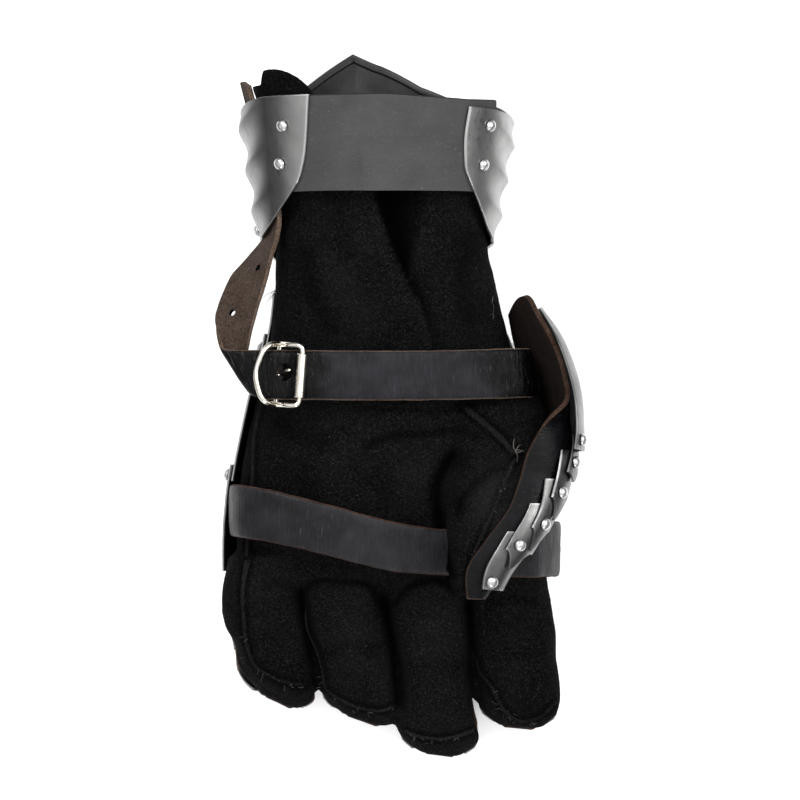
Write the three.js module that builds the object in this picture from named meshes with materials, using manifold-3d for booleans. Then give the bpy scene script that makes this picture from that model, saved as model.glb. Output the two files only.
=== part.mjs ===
// Armoured gauntlet for a left hand: steel bell cuff, wrist lames, hand and knuckle plates,
// finger and thumb lames on leather strips, over a suede glove, closed by two leather straps.
// Millimetres, +Z up. The gauntlet lies on its back: fingers towards -Y, palm facing +Z.
import * as THREE from "three";
import { mergeVertices } from "three/addons/utils/BufferGeometryUtils.js";
import Module from "manifold-3d";

const wasm = await Module();
wasm.setup();

// ---------- driving dimensions ----------
const STEEL = 1.2; // thickness of the plates
const HEM = 1.3; // extra thickness of the folded rim of the cuff
const HEM_WIDTH = 3.0; // width of that folded rim
const GAP = 0.35; // clearance between touching pieces
const SUEDE = 2.0; // wall of the glove
const LEATHER = 2.0; // straps and strips
const STRAP_WIDTH = 20.0;
const RIVET_R = 2.6; // head radius
const RIVET_H = 1.9; // head height
const SHANK_R = 1.1;
const HOLE_R = 1.5;
const WIRE_R = 1.15; // buckle wire
const ROLLER_R = 1.9;
const FLUTE = 2.3; // height of the flutes of the cuff
const KEEL = 2.0; // height of the ridge down the middle of the plates
const SECTION_N = 2.25; // superellipse exponent of the cuff
const SHELL_N = 3; // superellipse exponent of the hand plates
const KEEL_ANGLE = 262; // where the ridge runs, degrees round the section from +X

const STEEL_MAT = { color: 0x8f8f8d, roughness: 0.38, metalness: 1 };
const RIVET_MAT = { color: 0xc4c4c6, roughness: 0.3, metalness: 1 };
const NICKEL_MAT = { color: 0xcfcabf, roughness: 0.22, metalness: 1 };
const SUEDE_MAT = { color: 0x161616, roughness: 0.97, metalness: 0 };
const STRAP_MAT = { color: 0x2b292e, roughness: 0.5, metalness: 0 };
const BAND_MAT = { color: 0x444444, roughness: 0.62, metalness: 0 };
const STRIP_MAT = { color: 0x2c1f1b, roughness: 0.8, metalness: 0 };

// ---------- tables ----------
// Section of the cuff at height y along the arm: half width a, half depth b, centre x and z.
const CUFF = rows("y a b cx cz", [
  [48, 47.3, 28.4, -9.8, 48.4],
  [69, 48.9, 31.4, -9.8, 49.0],
  [90, 52.0, 37.0, -9.5, 49.6],
  [124, 57.8, 46.0, -9.0, 50.4],
  [150, 61.6, 51.6, -9.0, 52.9],
]);
// Rim of the cuff: y by angle round the section (the gable either side of the ridge is straight).
const RIM = rows("ang y", [
  [100, 131.2], [122, 130.6], [150, 129.4], [180, 124.3], [205, 123.2], [226, 125.8],
  [240, 134.0], [262, 149.0], [285, 135.0], [300, 129.4], [330, 126.0], [360, 119.8], [385, 123.6], [412, 126.0], [440, 126.5],
]);
// Lower edge of the cuff by angle.
const CUFF_FOOT = rows("ang y", [
  [100, 69.3], [185, 69.3], [215, 60.0], [262, 51.0], [310, 60.0], [355, 68.0], [440, 68.0],
]);
// Ends of the two wings: x of the edge at height y.
const WING_L = rows("y x", [
  [69.3, -58.8], [82.7, -50.4], [92.5, -44.1], [97.4, -42.0], [107, -40.2], [131, -38.6],
]);
const WING_R = rows("y x", [
  [68, 39.4], [81.4, 35.0], [96.7, 28.9], [101, 27.8], [113.5, 27.7], [127, 29.8],
]);
// Back of the hand: section at y, ends at heights zl and zr on the little-finger and thumb side.
const SHELL = rows("y cx a cz b zl zr", [
  [66, -8.4, 48.2, 48.0, 27.2, 44, 35],
  [45, -7.6, 49.6, 46.5, 29.0, 43, 34],
  [28, -5.2, 54.4, 43.0, 31.0, 42, 33],
  [0, -4.3, 62.3, 40.0, 34.4, 42, 33],
  [-29, -5.2, 67.3, 38.0, 35.6, 40, 31],
  [-50, -5.2, 69.4, 36.0, 35.6, 36, 28],
  [-70, -5.4, 69.6, 34.0, 33.6, 31, 25],
]);
// Plates over the back of the hand: y range and how many layers in from the outside.
const PLATES = rows("name y0 y1 layer", [
  ["wrist_lame_1", 42, 64, 3],
  ["wrist_lame_2", 25, 48, 2],
  ["hand_plate", -31, 31, 1],
  ["knuckle_plate", -69, -24, 0],
]);
// Knuckles raised in the knuckle plate.
const KNUCKLES = rows("x y h r", [
  [-51, -54, 4.9, 15], [-21, -56, 1.0, 14], [12, -56, 1.0, 14], [40, -54, 4.9, 15],
]);
// Glove from wrist to knuckles: left, right, bottom, top.
const BODY = rows("y xl xr zb zt", [
  [127, -58.0, 41.0, 14.0, 83.0],
  [108, -54.0, 38.4, 17.0, 80.0],
  [86, -50.4, 35.8, 22.0, 76.5],
  [66, -51.4, 36.6, 27.5, 75.0],
  [45, -52.8, 41.4, 24.5, 73.5],
  [26, -54.6, 46.0, 18.5, 72.0],
  [14, -56.4, 49.6, 13.5, 71.0],
  [4, -59.8, 53.0, 10.8, 70.0],
  [-4, -61.6, 57.0, 9.4, 69.6],
  [-28, -67.2, 57.5, 6.6, 67.0],
  [-52, -68.8, 59.0, 7.5, 60.2],
  [-68, -68.4, 58.4, 14.3, 53.0],
  [-78, -66.0, 56.0, 16.4, 46.0],
]);
// Corner of the glove's mouth that stands above the cuff.
// Rim of the glove's mouth, with the lobe that stands up on the little-finger side, and how far that leans out.
const MOUTH_RIM = rows("ang y out", [
  [0, 126, 0], [60, 126.4, 0], [112, 127, 0], [120.5, 131.9, 0], [124, 135.2, 0], [130, 138.2, 0.3], [140, 141.2, 0.8], [151, 142.4, 1.2], [158, 142.0, 1.6],
  [165, 139.6, 2.0], [172, 135.2, 3.0], [182, 133.7, 4.4], [194, 131.0, 3.0], [210, 127.0, 0.6], [240, 126, 0], [360, 126, 0],
]);
// Fingers: y, centre x, half width, centre z, half height.
const FINGERS = {
  little: rows("y cx hw cz hh tilt", [
    [-62, -55.6, 14.2, 35, 19.4, 0], [-80, -57.4, 15.6, 32, 18.4, 0], [-92, -56.8, 14.6, 30, 17.4, -0.06], [-104, -53.6, 15.4, 28.4, 16, -0.25],
    [-113, -52.6, 16.2, 26, 13.4, -0.42], [-118.6, -52.2, 14.4, 24, 10, -0.45], [-121.8, -51.4, 10.0, 22, 6.6, -0.45],
  ]),
  ring: rows("y cx hw cz hh tilt", [
    [-62, -24.6, 15.4, 35, 21, 0], [-80, -25.0, 16.6, 33, 20, 0], [-92, -22.8, 17.2, 31, 18.6, -0.05], [-106, -19.6, 16.8, 28.6, 16.8, -0.16],
    [-117, -17.4, 18.0, 26.4, 13.8, -0.3], [-125.4, -16.8, 16.6, 24, 10.6, -0.34], [-129.6, -16.0, 12.0, 22, 7, -0.34],
  ]),
  middle: rows("y cx hw cz hh tilt", [
    [-62, 11.0, 15.2, 35, 21, 0], [-86, 12.4, 16.2, 32, 19, 0], [-100, 13.4, 15.0, 30, 17.6, 0], [-114, 14.8, 13.8, 28.4, 16.4, 0],
    [-128, 16.0, 14.6, 26.4, 14, -0.08], [-137, 16.2, 17.4, 24.4, 11.2, -0.12], [-142, 16.4, 14.4, 23, 8.6, -0.12], [-144.4, 16.6, 10.6, 22, 6, -0.12],
  ]),
  index: rows("y cx hw cz hh tilt", [
    [-62, 43.2, 14.8, 35, 19.4, 0], [-88, 46.2, 16.0, 31, 18.0, 0], [-104, 48.6, 16.8, 28.8, 16, 0],
    [-118, 49.4, 18.2, 26.4, 13.6, -0.06], [-127, 49.8, 16.6, 24, 10.4, -0.09], [-132.6, 50.0, 11.6, 22, 6.6, -0.09],
  ]),
};
const THUMB = rows("y cx hw cz hh", [
  [10, 37.0, 17.0, 47, 19], [4.2, 38.0, 16.6, 50, 19.4], [-1.5, 40.2, 19.2, 52.5, 19.8], [-8, 41.6, 21.0, 55, 20], [-19, 42.6, 22.0, 60.5, 19.5],
  [-31, 41.0, 21.6, 66, 17.5], [-43, 37.4, 17.8, 73, 13.6], [-56, 33.8, 14.0, 77, 10.8], [-68, 30.4, 10.2, 78.2, 8.4], [-77, 28.0, 6.0, 78.0, 5.0],
]);
// Leather strip along the back of the thumb, wrist end first: its palm edge, middle and back edge.
const THUMB_STRIP = rows("x1 y1 z1 xm ym zm x2 y2 z2", [
  [57.2, 42.0, 66, 52.6, 47.0, 52, 46.8, 39.2, 39],
  [65.4, 27.7, 72, 59.0, 28.0, 53, 50.0, 25.0, 36],
  [70.2, 13.0, 76, 65.5, 12.0, 55, 57.5, 10.0, 37],
  [70.8, 2.0, 80, 70.0, 0.0, 60, 62.0, -2.0, 40],
  [61.2, -7.0, 83.5, 71.8, -9.0, 68, 65.0, -12.0, 44],
  [54.2, -18.6, 86, 71.4, -19.0, 73, 64.5, -21.0, 48],
  [50.4, -31.0, 87.4, 68.0, -31.0, 77, 61.0, -32.0, 53],
  [45.6, -43.0, 88.8, 62.6, -43.0, 80.5, 55.5, -44.0, 57],
  [36.0, -56.0, 89.6, 53.6, -56.0, 83.5, 48.0, -57.0, 62],
  [28.4, -68.0, 89.2, 43.6, -68.0, 84.0, 39.4, -68.0, 67],
  [28.4, -80.5, 86.6, 36.0, -80.5, 82, 33.4, -79.0, 72],
]);
const THUMB_PLATE = rows("x1 y1 z1 xm ym zm x2 y2 z2", [
  [58.8, 41.6, 61, 59.4, 42.0, 54, 56.4, 40.5, 47],
  [66.2, 29.0, 75, 67.6, 30.0, 59, 60.0, 28.0, 43],
  [71.0, 16.0, 80, 73.6, 16.0, 61, 65.5, 15.0, 43],
  [73.8, 4.0, 83.5, 76.4, 4.0, 64, 69.4, 3.0, 45],
  [74.6, -8.0, 86, 77.3, -8.0, 67, 71.4, -8.0, 48],
  [73.8, -17.5, 86.5, 77.6, -18.5, 69, 72.4, -18.5, 51],
]);
// Lames on the thumb: station range along the strip, and where their palm end starts.
const LAME_TIP_AT = 0.2;
const THUMB_LAMES = rows("name v0 v1 u0 u1 lift0 lift1 tip", [
  ["thumb_lame_1", 0.430, 0.567, 0.430, 0.362, 1.8, 4.8, 0.2],
  ["thumb_lame_2", 0.494, 0.655, 0.284, 0.296, 1.6, 4.4, 0.4],
  ["thumb_lame_3", 0.593, 0.752, 0.198, 0.284, 1.6, 4.4, 0.4],
  ["thumb_lame_4", 0.679, 0.824, 0.144, 0.200, 1.6, 4.4, 0.4],
  ["thumb_lame_5", 0.770, 0.955, 0.115, 0.180, 1.6, 4.2, 0],
]);
// Wrist strap: its two long edges, from under the thumb flap, through the buckle, round the fold and up into the cuff.
const WRIST_STRAP = rows("xa ya za xb yb zb", [
  [55.2, 24.4, 50.0, 58.8, 4.6, 46.0],
  [55.0, 24.4, 62.0, 57.6, 4.6, 60.0],
  [50.4, 24.4, 73.2, 52.6, 4.4, 72.4],
  [40.0, 24.0, 77.2, 41.0, 4.0, 76.8],
  [18.0, 23.4, 78.8, 18.0, 3.4, 78.6],
  [-8.0, 23.2, 79.2, -8.0, 3.2, 79.0],
  [-34.0, 23.4, 80.8, -34.0, 3.4, 80.8],
  [-43.0, 23.5, 81.8, -43.0, 3.5, 81.8],
  [-51.0, 23.5, 82.8, -51.0, 3.5, 82.8],
  [-59.0, 23.5, 82.0, -57.0, 3.6, 82.0],
  [-70.0, 23.6, 82.0, -61.0, 4.2, 81.0],
  [-75.4, 24.2, 80.4, -64.0, 6.0, 78.6],
  [-76.9, 27.4, 76.4, -65.4, 11.0, 76.2],
  [-77.2, 31.5, 71.6, -64.0, 21.0, 76.6],
  [-76.0, 39.0, 66.0, -60.8, 35.0, 77.6],
  [-70.4, 52.5, 60.0, -56.2, 49.5, 75.0],
  [-62.8, 61.0, 56.6, -53.2, 61.0, 72.6],
  [-54.5, 72.0, 54.0, -49.9, 72.0, 70.2],
  [-55.2, 84.0, 53.0, -49.4, 84.0, 67.8],
  [-58.2, 103.0, 52.0, -53.8, 103.0, 67.2],
  [-61.0, 120.0, 51.0, -58.0, 120.0, 67.2],
  [-64.8, 137.0, 50.6, -62.0, 134.4, 67.4],
]);
const STRAP_HOLES = rows("x y r", [[-48.4, 14.6, 3.2], [-69.4, 39.1, 1.5], [-58.2, 57.8, 1.5]]);
// Palm strap, from inside the plates on the little-finger side to outside them on the thumb side.
const PALM_STRAP = rows("xa ya za xb yb zb", [
  [-71.4, -33.0, 34.0, -71.8, -54.0, 31.0],
  [-71.6, -33.0, 46.0, -71.6, -54.0, 42.0],
  [-67.0, -33.4, 60.0, -67.4, -54.6, 57.0],
  [-52.0, -36.0, 69.4, -52.6, -57.0, 66.6],
  [-30.0, -41.6, 71.8, -31.0, -62.0, 68.0],
  [-5.0, -48.4, 71.6, -6.0, -68.4, 66.4],
  [19.0, -52.0, 65.2, 19.0, -70.6, 61.0],
  [40.0, -51.0, 61.4, 40.0, -71.2, 58.0],
  [55.0, -49.4, 56.0, 55.0, -71.4, 53.6],
  [63.4, -48.6, 45.0, 62.6, -71.2, 43.0],
  [67.6, -48.6, 33.0, 67.0, -71.0, 31.0],
  [67.2, -48.8, 23.0, 66.6, -70.8, 22.0],
  [64.0, -49.0, 13.5, 63.2, -70.4, 13.0],
]);
const BAND = { y0: 90.8, y1Left: 130.4, y1Mid: 131.2, y1Right: 128.6, x0: -52.6, x1: 40.6 };
const CUFF_RIVETS = rows("x y", [[-49.5, 118.0], [-50.1, 102.2], [37.6, 118.0], [35.1, 101.8]]);
const BUCKLE = { x: -51.0, y: 13.8, z: 77.6, toRoller: 9.4, toArc: 9.4, half: 12.6, rise: 7.4, tilt: 4 };
// Leather chape that holds the buckle: section from inside the hand plate, up and round the bar, and back.
const CHAPE_WIDTH = 13;
const CHAPE_SKEW = 0.2; // slant of the hidden end, which follows the plate
const CHAPE_LEATHER = 1.4;
const CHAPE = rows("dx dz", [
  [-6.9, -38], [-7.5, -28], [-8.6, -18], [-8.2, -9.6], [-5.4, -4.6], [-2.6, -2.95], [0, -2.9], [2.05, -2.05], [2.9, 0], [2.05, 2.05], [0, 2.9], [-3.2, 2.5], [-6.4, 0.6],
]);
const THUMB_RIVETS = rows("on x y", [
  ["thumb_plate", 76.2, -13.6], ["thumb_lame_1", 73.4, -23.1], ["thumb_lame_2", 67.9, -35.7],
  ["thumb_lame_3", 60.6, -49.0], ["thumb_lame_4", 50.2, -57.7], ["thumb_lame_5", 38.5, -73.3],
]);
// Finger strips and lames: how the back of each finger is divided.
const FINGER_TIPS = { little: -124.8, ring: -132.6, middle: -147.0, index: -135.6 };
const LAMES_PER_FINGER = 3;
const FINGER_STRIP_Z = 7.9; // underside of the strip at the middle of the finger
const FINGER_RISE = 3.4; // how far the strip's edges curve up

// ---------- small helpers ----------
function rows(names, data) {
  const cols = names.split(" ");
  return data.map((r) => Object.fromEntries(cols.map((c, i) => [c, r[i]])));
}
// Smooth interpolation of a table by its key column.
function at(table, key, value, sharp = false) {
  const up = table[1][key] > table[0][key];
  const t = up ? table : [...table].reverse();
  const v = Math.min(Math.max(value, t[0][key]), t[t.length - 1][key]);
  let i = 0;
  while (i < t.length - 2 && t[i + 1][key] < v) i++;
  const h = t[i + 1][key] - t[i][key];
  const s = (v - t[i][key]) / h;
  const out = {};
  for (const c of Object.keys(t[0])) {
    if (typeof t[0][c] !== "number") continue;
    const p0 = t[i][c], p1 = t[i + 1][c];
    if (sharp) { out[c] = p0 + (p1 - p0) * s; continue; }
    const slope = (j) => j <= 0 || j >= t.length - 1
      ? (t[Math.min(j + 1, t.length - 1)][c] - t[Math.max(j - 1, 0)][c]) / (t[Math.min(j + 1, t.length - 1)][key] - t[Math.max(j - 1, 0)][key])
      : (t[j + 1][c] - t[j - 1][c]) / (t[j + 1][key] - t[j - 1][key]);
    const m0 = slope(i) * h, m1 = slope(i + 1) * h, s2 = s * s, s3 = s2 * s;
    out[c] = p0 * (2 * s3 - 3 * s2 + 1) + m0 * (s3 - 2 * s2 + s) + p1 * (3 * s2 - 2 * s3) + m1 * (s3 - s2);
  }
  return out;
}
// The same by position along the table, 0 to 1.
function along(table, v) {
  const keyed = table.map((r, i) => ({ ...r, k_: i / (table.length - 1) }));
  return at(keyed, "k_", v);
}
const lerp = (a, b, t) => a + (b - a) * t;
const clamp01 = (t) => Math.min(1, Math.max(0, t));
const smooth = (t) => { t = clamp01(t); return t * t * (3 - 2 * t); };
const deg = Math.PI / 180;
const sgnpow = (x, p) => Math.sign(x) * Math.abs(x) ** p;
const range = (n, a = 0, b = 1) => Array.from({ length: n + 1 }, (_, i) => lerp(a, b, i / n));
const V = (x, y, z) => new THREE.Vector3(x, y, z);

function closed(points, faces) {
  const g = new THREE.BufferGeometry();
  const pos = new Float32Array(points.length * 3);
  points.forEach((p, i) => pos.set([p.x, p.y, p.z], i * 3));
  let volume = 0;
  for (const [a, b, c] of faces) volume += points[a].dot(points[b].clone().cross(points[c]));
  const idx = faces.flatMap(([a, b, c]) => (volume < 0 ? [a, c, b] : [a, b, c]));
  g.setAttribute("position", new THREE.BufferAttribute(pos, 3));
  g.setIndex(idx);
  return g;
}
// A plate or strip: the surface f(u, v) is its outer face and t its thickness inwards.
function plate(f, us, vs, t, flip = 1) {
  const nu = us.length, nv = vs.length, e = 1e-3, points = [], faces = [];
  const outer = [], inner = [];
  for (const v of vs) for (const u of us) {
    const p = f(u, v);
    const du = f(Math.min(u + e, 1), v).sub(f(Math.max(u - e, 0), v));
    const dv = f(u, Math.min(v + e, 1)).sub(f(u, Math.max(v - e, 0)));
    const n = du.cross(dv).normalize().multiplyScalar(flip);
    outer.push(p);
    inner.push(p.clone().addScaledVector(n, -(typeof t === "function" ? t(u, v) : t)));
  }
  points.push(...outer, ...inner);
  const o = (i, j) => j * nu + i, n = (i, j) => nu * nv + j * nu + i;
  const quad = (a, b, c, d) => faces.push([a, b, c], [a, c, d]);
  for (let j = 0; j < nv - 1; j++) for (let i = 0; i < nu - 1; i++) {
    quad(o(i, j), o(i + 1, j), o(i + 1, j + 1), o(i, j + 1));
    quad(n(i, j), n(i, j + 1), n(i + 1, j + 1), n(i + 1, j));
  }
  for (let i = 0; i < nu - 1; i++) {
    quad(o(i, 0), n(i, 0), n(i + 1, 0), o(i + 1, 0));
    quad(o(i, nv - 1), o(i + 1, nv - 1), n(i + 1, nv - 1), n(i, nv - 1));
  }
  for (let j = 0; j < nv - 1; j++) {
    quad(o(0, j), o(0, j + 1), n(0, j + 1), n(0, j));
    quad(o(nu - 1, j), n(nu - 1, j), n(nu - 1, j + 1), o(nu - 1, j + 1));
  }
  return closed(points, faces);
}
// A solid lofted through rings of equal length, with flat ends.
function loft(rings) {
  const n = rings[0].length, points = rings.flat(), faces = [];
  rings.slice(1).forEach((_, k) => {
    for (let i = 0; i < n; i++) {
      const a = k * n + i, b = k * n + ((i + 1) % n), c = b + n, d = a + n;
      faces.push([a, b, c], [a, c, d]);
    }
  });
  for (const [k, flip] of [[0, true], [rings.length - 1, false]]) {
    const mid = rings[k].reduce((s, p) => s.add(p), V(0, 0, 0)).divideScalar(n);
    points.push(mid);
    for (let i = 0; i < n; i++) {
      const a = k * n + i, b = k * n + ((i + 1) % n), m = points.length - 1;
      faces.push(flip ? [m, b, a] : [m, a, b]);
    }
  }
  return closed(points, faces);
}
function solid(geometry) {
  const g = geometry.clone();
  g.deleteAttribute("normal"); g.deleteAttribute("uv");
  const m = mergeVertices(g, 1e-4);
  return new wasm.Manifold(new wasm.Mesh({ numProp: 3, vertProperties: new Float32Array(m.attributes.position.array), triVerts: new Uint32Array(m.index.array) }));
}
function geometryOf(manifold) {
  const m = manifold.getMesh();
  const g = new THREE.BufferGeometry();
  g.setAttribute("position", new THREE.BufferAttribute(new Float32Array(m.vertProperties), 3));
  g.setIndex([...m.triVerts]);
  return g;
}
function placed(geometry, position, direction) {
  const q = new THREE.Quaternion().setFromUnitVectors(V(0, 1, 0), direction.clone().normalize());
  return geometry.clone().applyQuaternion(q).translate(position.x, position.y, position.z);
}
function bored(geometry, holes) {
  let s = solid(geometry);
  for (const h of holes) s = s.subtract(solid(placed(new THREE.CylinderGeometry(h.r, h.r, h.length ?? 9, h.sides ?? 8), h.p, h.n)));
  return geometryOf(s);
}
// Rivet: domed head on the outside, shank through the plies, flat foot inside.
function rivet(p, n, plies, r = RIVET_R, h = RIVET_H) {
  const profile = [
    [0, -plies - GAP - 0.9], [1.9, -plies - GAP - 0.9], [1.9, -plies - GAP], [SHANK_R, -plies - GAP], [SHANK_R, GAP], [r, GAP],
    [r * 0.93, GAP + h * 0.45], [r * 0.62, GAP + h * 0.86], [0, GAP + h],
  ].map(([x, y]) => new THREE.Vector2(x, y));
  return placed(new THREE.LatheGeometry(profile, 8), p, n);
}
function stud(p, n, r = RIVET_R, h = RIVET_H) {
  const profile = [[0, GAP], [r, GAP], [r * 0.93, GAP + h * 0.45], [r * 0.62, GAP + h * 0.86], [0, GAP + h]].map(([x, y]) => new THREE.Vector2(x, y));
  return placed(new THREE.LatheGeometry(profile, 8), p, n);
}
// Where the surface f has the given x and y, and its normal there.
function find(f, x, y, flip = 1, u = 0.5, v = 0.5) {
  let best = 1e9;
  for (const uu of range(60)) for (const vv of range(60)) {
    const p = f(uu, vv), d = Math.hypot(p.x - x, p.y - y) - 0.02 * p.z;
    if (d < best) { best = d; u = uu; v = vv; }
  }
  for (let k = 0; k < 30; k++) {
    const p = f(u, v), e = 1e-3, pu = f(u + e, v), pv = f(u, v + e);
    const a = (pu.x - p.x) / e, b = (pv.x - p.x) / e, c = (pu.y - p.y) / e, d = (pv.y - p.y) / e, det = a * d - b * c || 1e-9;
    const rx = x - p.x, ry = y - p.y;
    u = clamp01(u + 0.7 * (d * rx - b * ry) / det); v = clamp01(v + 0.7 * (-c * rx + a * ry) / det);
  }
  const e = 1e-3, p = f(u, v);
  const n = f(Math.min(u + e, 1), v).sub(f(Math.max(u - e, 0), v)).cross(f(u, Math.min(v + e, 1)).sub(f(u, Math.max(v - e, 0)))).normalize().multiplyScalar(flip);
  return { p, n, u, v };
}
const floor = solid(new THREE.BoxGeometry(400, 400, 60).translate(0, 0, -30));
const trimmed = (geometry) => geometryOf(solid(geometry).subtract(floor));
const root = new THREE.Group();
function add(name, geometry, material) {
  const mesh = new THREE.Mesh(geometry, new THREE.MeshStandardMaterial(material));
  mesh.name = name;
  root.add(mesh);
  return mesh;
}

// ---------- cuff ----------
function cuffSection(y, ang, grow = 0) {
  const s = at(CUFF, "y", y);
  const c = Math.cos(ang * deg), z = Math.sin(ang * deg);
  return V(s.cx + (s.a + grow) * sgnpow(c, 2 / SECTION_N), y, s.cz + (s.b + grow) * sgnpow(z, 2 / SECTION_N));
}
function wingAngle(x, y, left) {
  const s = at(CUFF, "y", y);
  const c = Math.min(0.9999, Math.abs(x - s.cx) / s.a);
  const ang = Math.acos(c ** (SECTION_N / 2)) / deg;
  return left ? 180 - ang : 360 + ang;
}
function rimY(ang) {
  if (ang > 226 && ang < 300) return at(RIM, "ang", ang, true).y;
  return at(RIM, "ang", ang).y;
}
function fluteHeight(ang, v) {
  const side = Math.abs(ang - KEEL_ANGLE) / 82;
  const first = lerp(0.222, 0.172, clamp01((ang - 180) / 180)) - 0.3 * (1 - side);
  const step = lerp(0.3125, 0.28, clamp01((ang - 180) / 180));
  const t = (v - first) / step;
  const fade = smooth((ang - 146) / 34) * smooth((394 - ang) / 34) * smooth((Math.abs(ang - KEEL_ANGLE) - 2) / 12);
  const ends = smooth((1 - v) / 0.06) * smooth((v + 0.02) / 0.1);
  return FLUTE * (1 - Math.abs(Math.sin(Math.PI * t))) * fade * ends;
}
function cuffSurface(u, v) {
  const yEndL = lerp(69.3, 130.6, v), yEndR = lerp(68, 126, v);
  const a0 = wingAngle(at(WING_L, "y", yEndL).x, yEndL, true);
  const a1 = wingAngle(at(WING_R, "y", yEndR).x, yEndR, false);
  const ang = u < 0.5 ? lerp(a0, KEEL_ANGLE, u * 2) : lerp(KEEL_ANGLE, a1, u * 2 - 1);
  const y = lerp(at(CUFF_FOOT, "ang", ang).y, rimY(ang), v);
  const keel = KEEL * Math.exp(-Math.abs(ang - KEEL_ANGLE) / 5);
  return cuffSection(y, ang, fluteHeight(ang, v) + keel);
}
const hemThickness = (u, v) => {
  const tall = 62 + 30 * Math.exp(-(((u - 0.5) / 0.25) ** 2));
  return STEEL + (v > 1 - HEM_WIDTH / tall ? HEM * smooth((0.36 - Math.abs(u - 0.5)) / 0.03) : 0);
};
const cuffU = [...range(4, 0, 0.2), ...range(7, 0.2, 0.5).slice(1), ...range(7, 0.5, 0.8).slice(1), ...range(4, 0.8, 1).slice(1)];
const cuffV = [0, 0.1, 0.2, 0.29, 0.38, 0.47, 0.53, 0.61, 0.7, 0.79, 0.86, 0.955, 0.965, 1];
const cuffHoles = CUFF_RIVETS.map((r) => { const f = find(cuffSurface, r.x, r.y, 1); return { p: f.p, n: f.n, r: HOLE_R }; });
// pick the sign of the outward normal once
const outward = (f, c) => { const q = find(f.fn, f.x, f.y, 1); return q.n.dot(q.p.clone().sub(c)) > 0 ? 1 : -1; };
const cuffFlip = outward({ fn: cuffSurface, x: -49.5, y: 118 }, V(-9, 118, 50));
for (const h of cuffHoles) h.n.multiplyScalar(cuffFlip);
add("cuff_plate", trimmed(bored(plate(cuffSurface, cuffU, cuffV, hemThickness, cuffFlip), cuffHoles)), STEEL_MAT);

// Leather band that closes the cuff on the palm side.
function bandSurface(u, v) {
  const x = lerp(BAND.x0, BAND.x1, u);
  const top = x < -6 ? lerp(BAND.y1Left, BAND.y1Mid, clamp01((x + 40) / 34)) : lerp(BAND.y1Mid, BAND.y1Right, clamp01((x + 6) / 36));
  const y = lerp(BAND.y0, top, v);
  const s = at(CUFF, "y", y), a = s.a - STEEL - 0.5, b = s.b - STEEL - 0.5;
  const c = (x - s.cx) / a;
  return V(x, y, s.cz + b * (1 - Math.min(0.999, Math.abs(c)) ** SECTION_N) ** (1 / SECTION_N));
}
const bandFlip = outward({ fn: bandSurface, x: 0, y: 110 }, V(0, 110, 50));
add("cuff_band", bored(plate(bandSurface, range(14), range(2), LEATHER, bandFlip), cuffHoles), BAND_MAT);
cuffHoles.forEach((h, i) => add(`cuff_rivet_${i + 1}`, rivet(h.p, h.n, STEEL + LEATHER + 0.7), RIVET_MAT));

// ---------- back of the hand ----------
function shellPoint(y, t, layer, extra = 0) {
  const s = at(SHELL, "y", y);
  const inset = layer * (STEEL + GAP + 0.1);
  const a = s.a - inset, b = s.b - inset;
  const end = (z, left) => {
    const q = Math.asin(Math.min(0.98, Math.abs(z - s.cz) / b) ** (SHELL_N / 2)) / deg * Math.sign(z - s.cz);
    return left ? 180 - q : 360 + q;
  };
  const a0 = end(s.zl, true), a1 = end(s.zr, false);
  const ang = t < 0.5 ? lerp(a0, KEEL_ANGLE + 6, t * 2) : lerp(KEEL_ANGLE + 6, a1, t * 2 - 1);
  const c = Math.cos(ang * deg), q = Math.sin(ang * deg);
  const p = V(s.cx + (a + extra) * sgnpow(c, 2 / SHELL_N), y, s.cz + (b + extra) * sgnpow(q, 2 / SHELL_N));
  return p;
}
function plateSurface(r) {
  return (u, v) => {
    const y = lerp(r.y0, r.y1, v);
    // each plate leans on the one before it, so its far edge stands a little proud
    const p = shellPoint(y, u, r.layer);
    if (r.name === "knuckle_plate") {
      for (const k of KNUCKLES) {
        const d = Math.hypot(p.x - k.x, (y - k.y) * 0.9) / k.r;
        if (d < 1) p.z -= k.h * smooth(1 - d);
      }
    }
    return p;
  };
}
const plateOf = {};
for (const r of PLATES) {
  const f = plateSurface(r), nv = r.name === "hand_plate" ? 4 : r.name === "knuckle_plate" ? 6 : 2;
  plateOf[r.name] = f;
  const g = plate(f, range(r.name === "knuckle_plate" ? 24 : 14), range(nv), STEEL, -1);
  add(r.name, r.name === "knuckle_plate" ? trimmed(g) : g, STEEL_MAT);
}

// Pivots that join the cuff to the wrist lames, and the rivets at the ends of the hand plates.
const SIDE_STUDS = rows("name on u v", [
  ["cuff_pivot_1", "cuff_plate", 0.2, 0.13], ["cuff_pivot_2", "cuff_plate", 0.81, 0.13],
  ["plate_rivet_1", "hand_plate", 0.06, 0.9], ["plate_rivet_2", "hand_plate", 0.94, 0.9],
  ["plate_rivet_3", "knuckle_plate", 0.05, 0.9], ["plate_rivet_4", "knuckle_plate", 0.95, 0.9],
]);
for (const r of SIDE_STUDS) {
  const f = r.on === "cuff_plate" ? cuffSurface : plateOf[r.on], e = 2e-3, p = f(r.u, r.v);
  const n = f(r.u + e, r.v).sub(f(r.u - e, r.v)).cross(f(r.u, r.v + e).sub(f(r.u, r.v - e))).normalize();
  if (n.dot(p.clone().sub(V(-6, p.y, 46))) < 0) n.negate();
  add(r.name, stud(p, n), RIVET_MAT);
}

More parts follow.
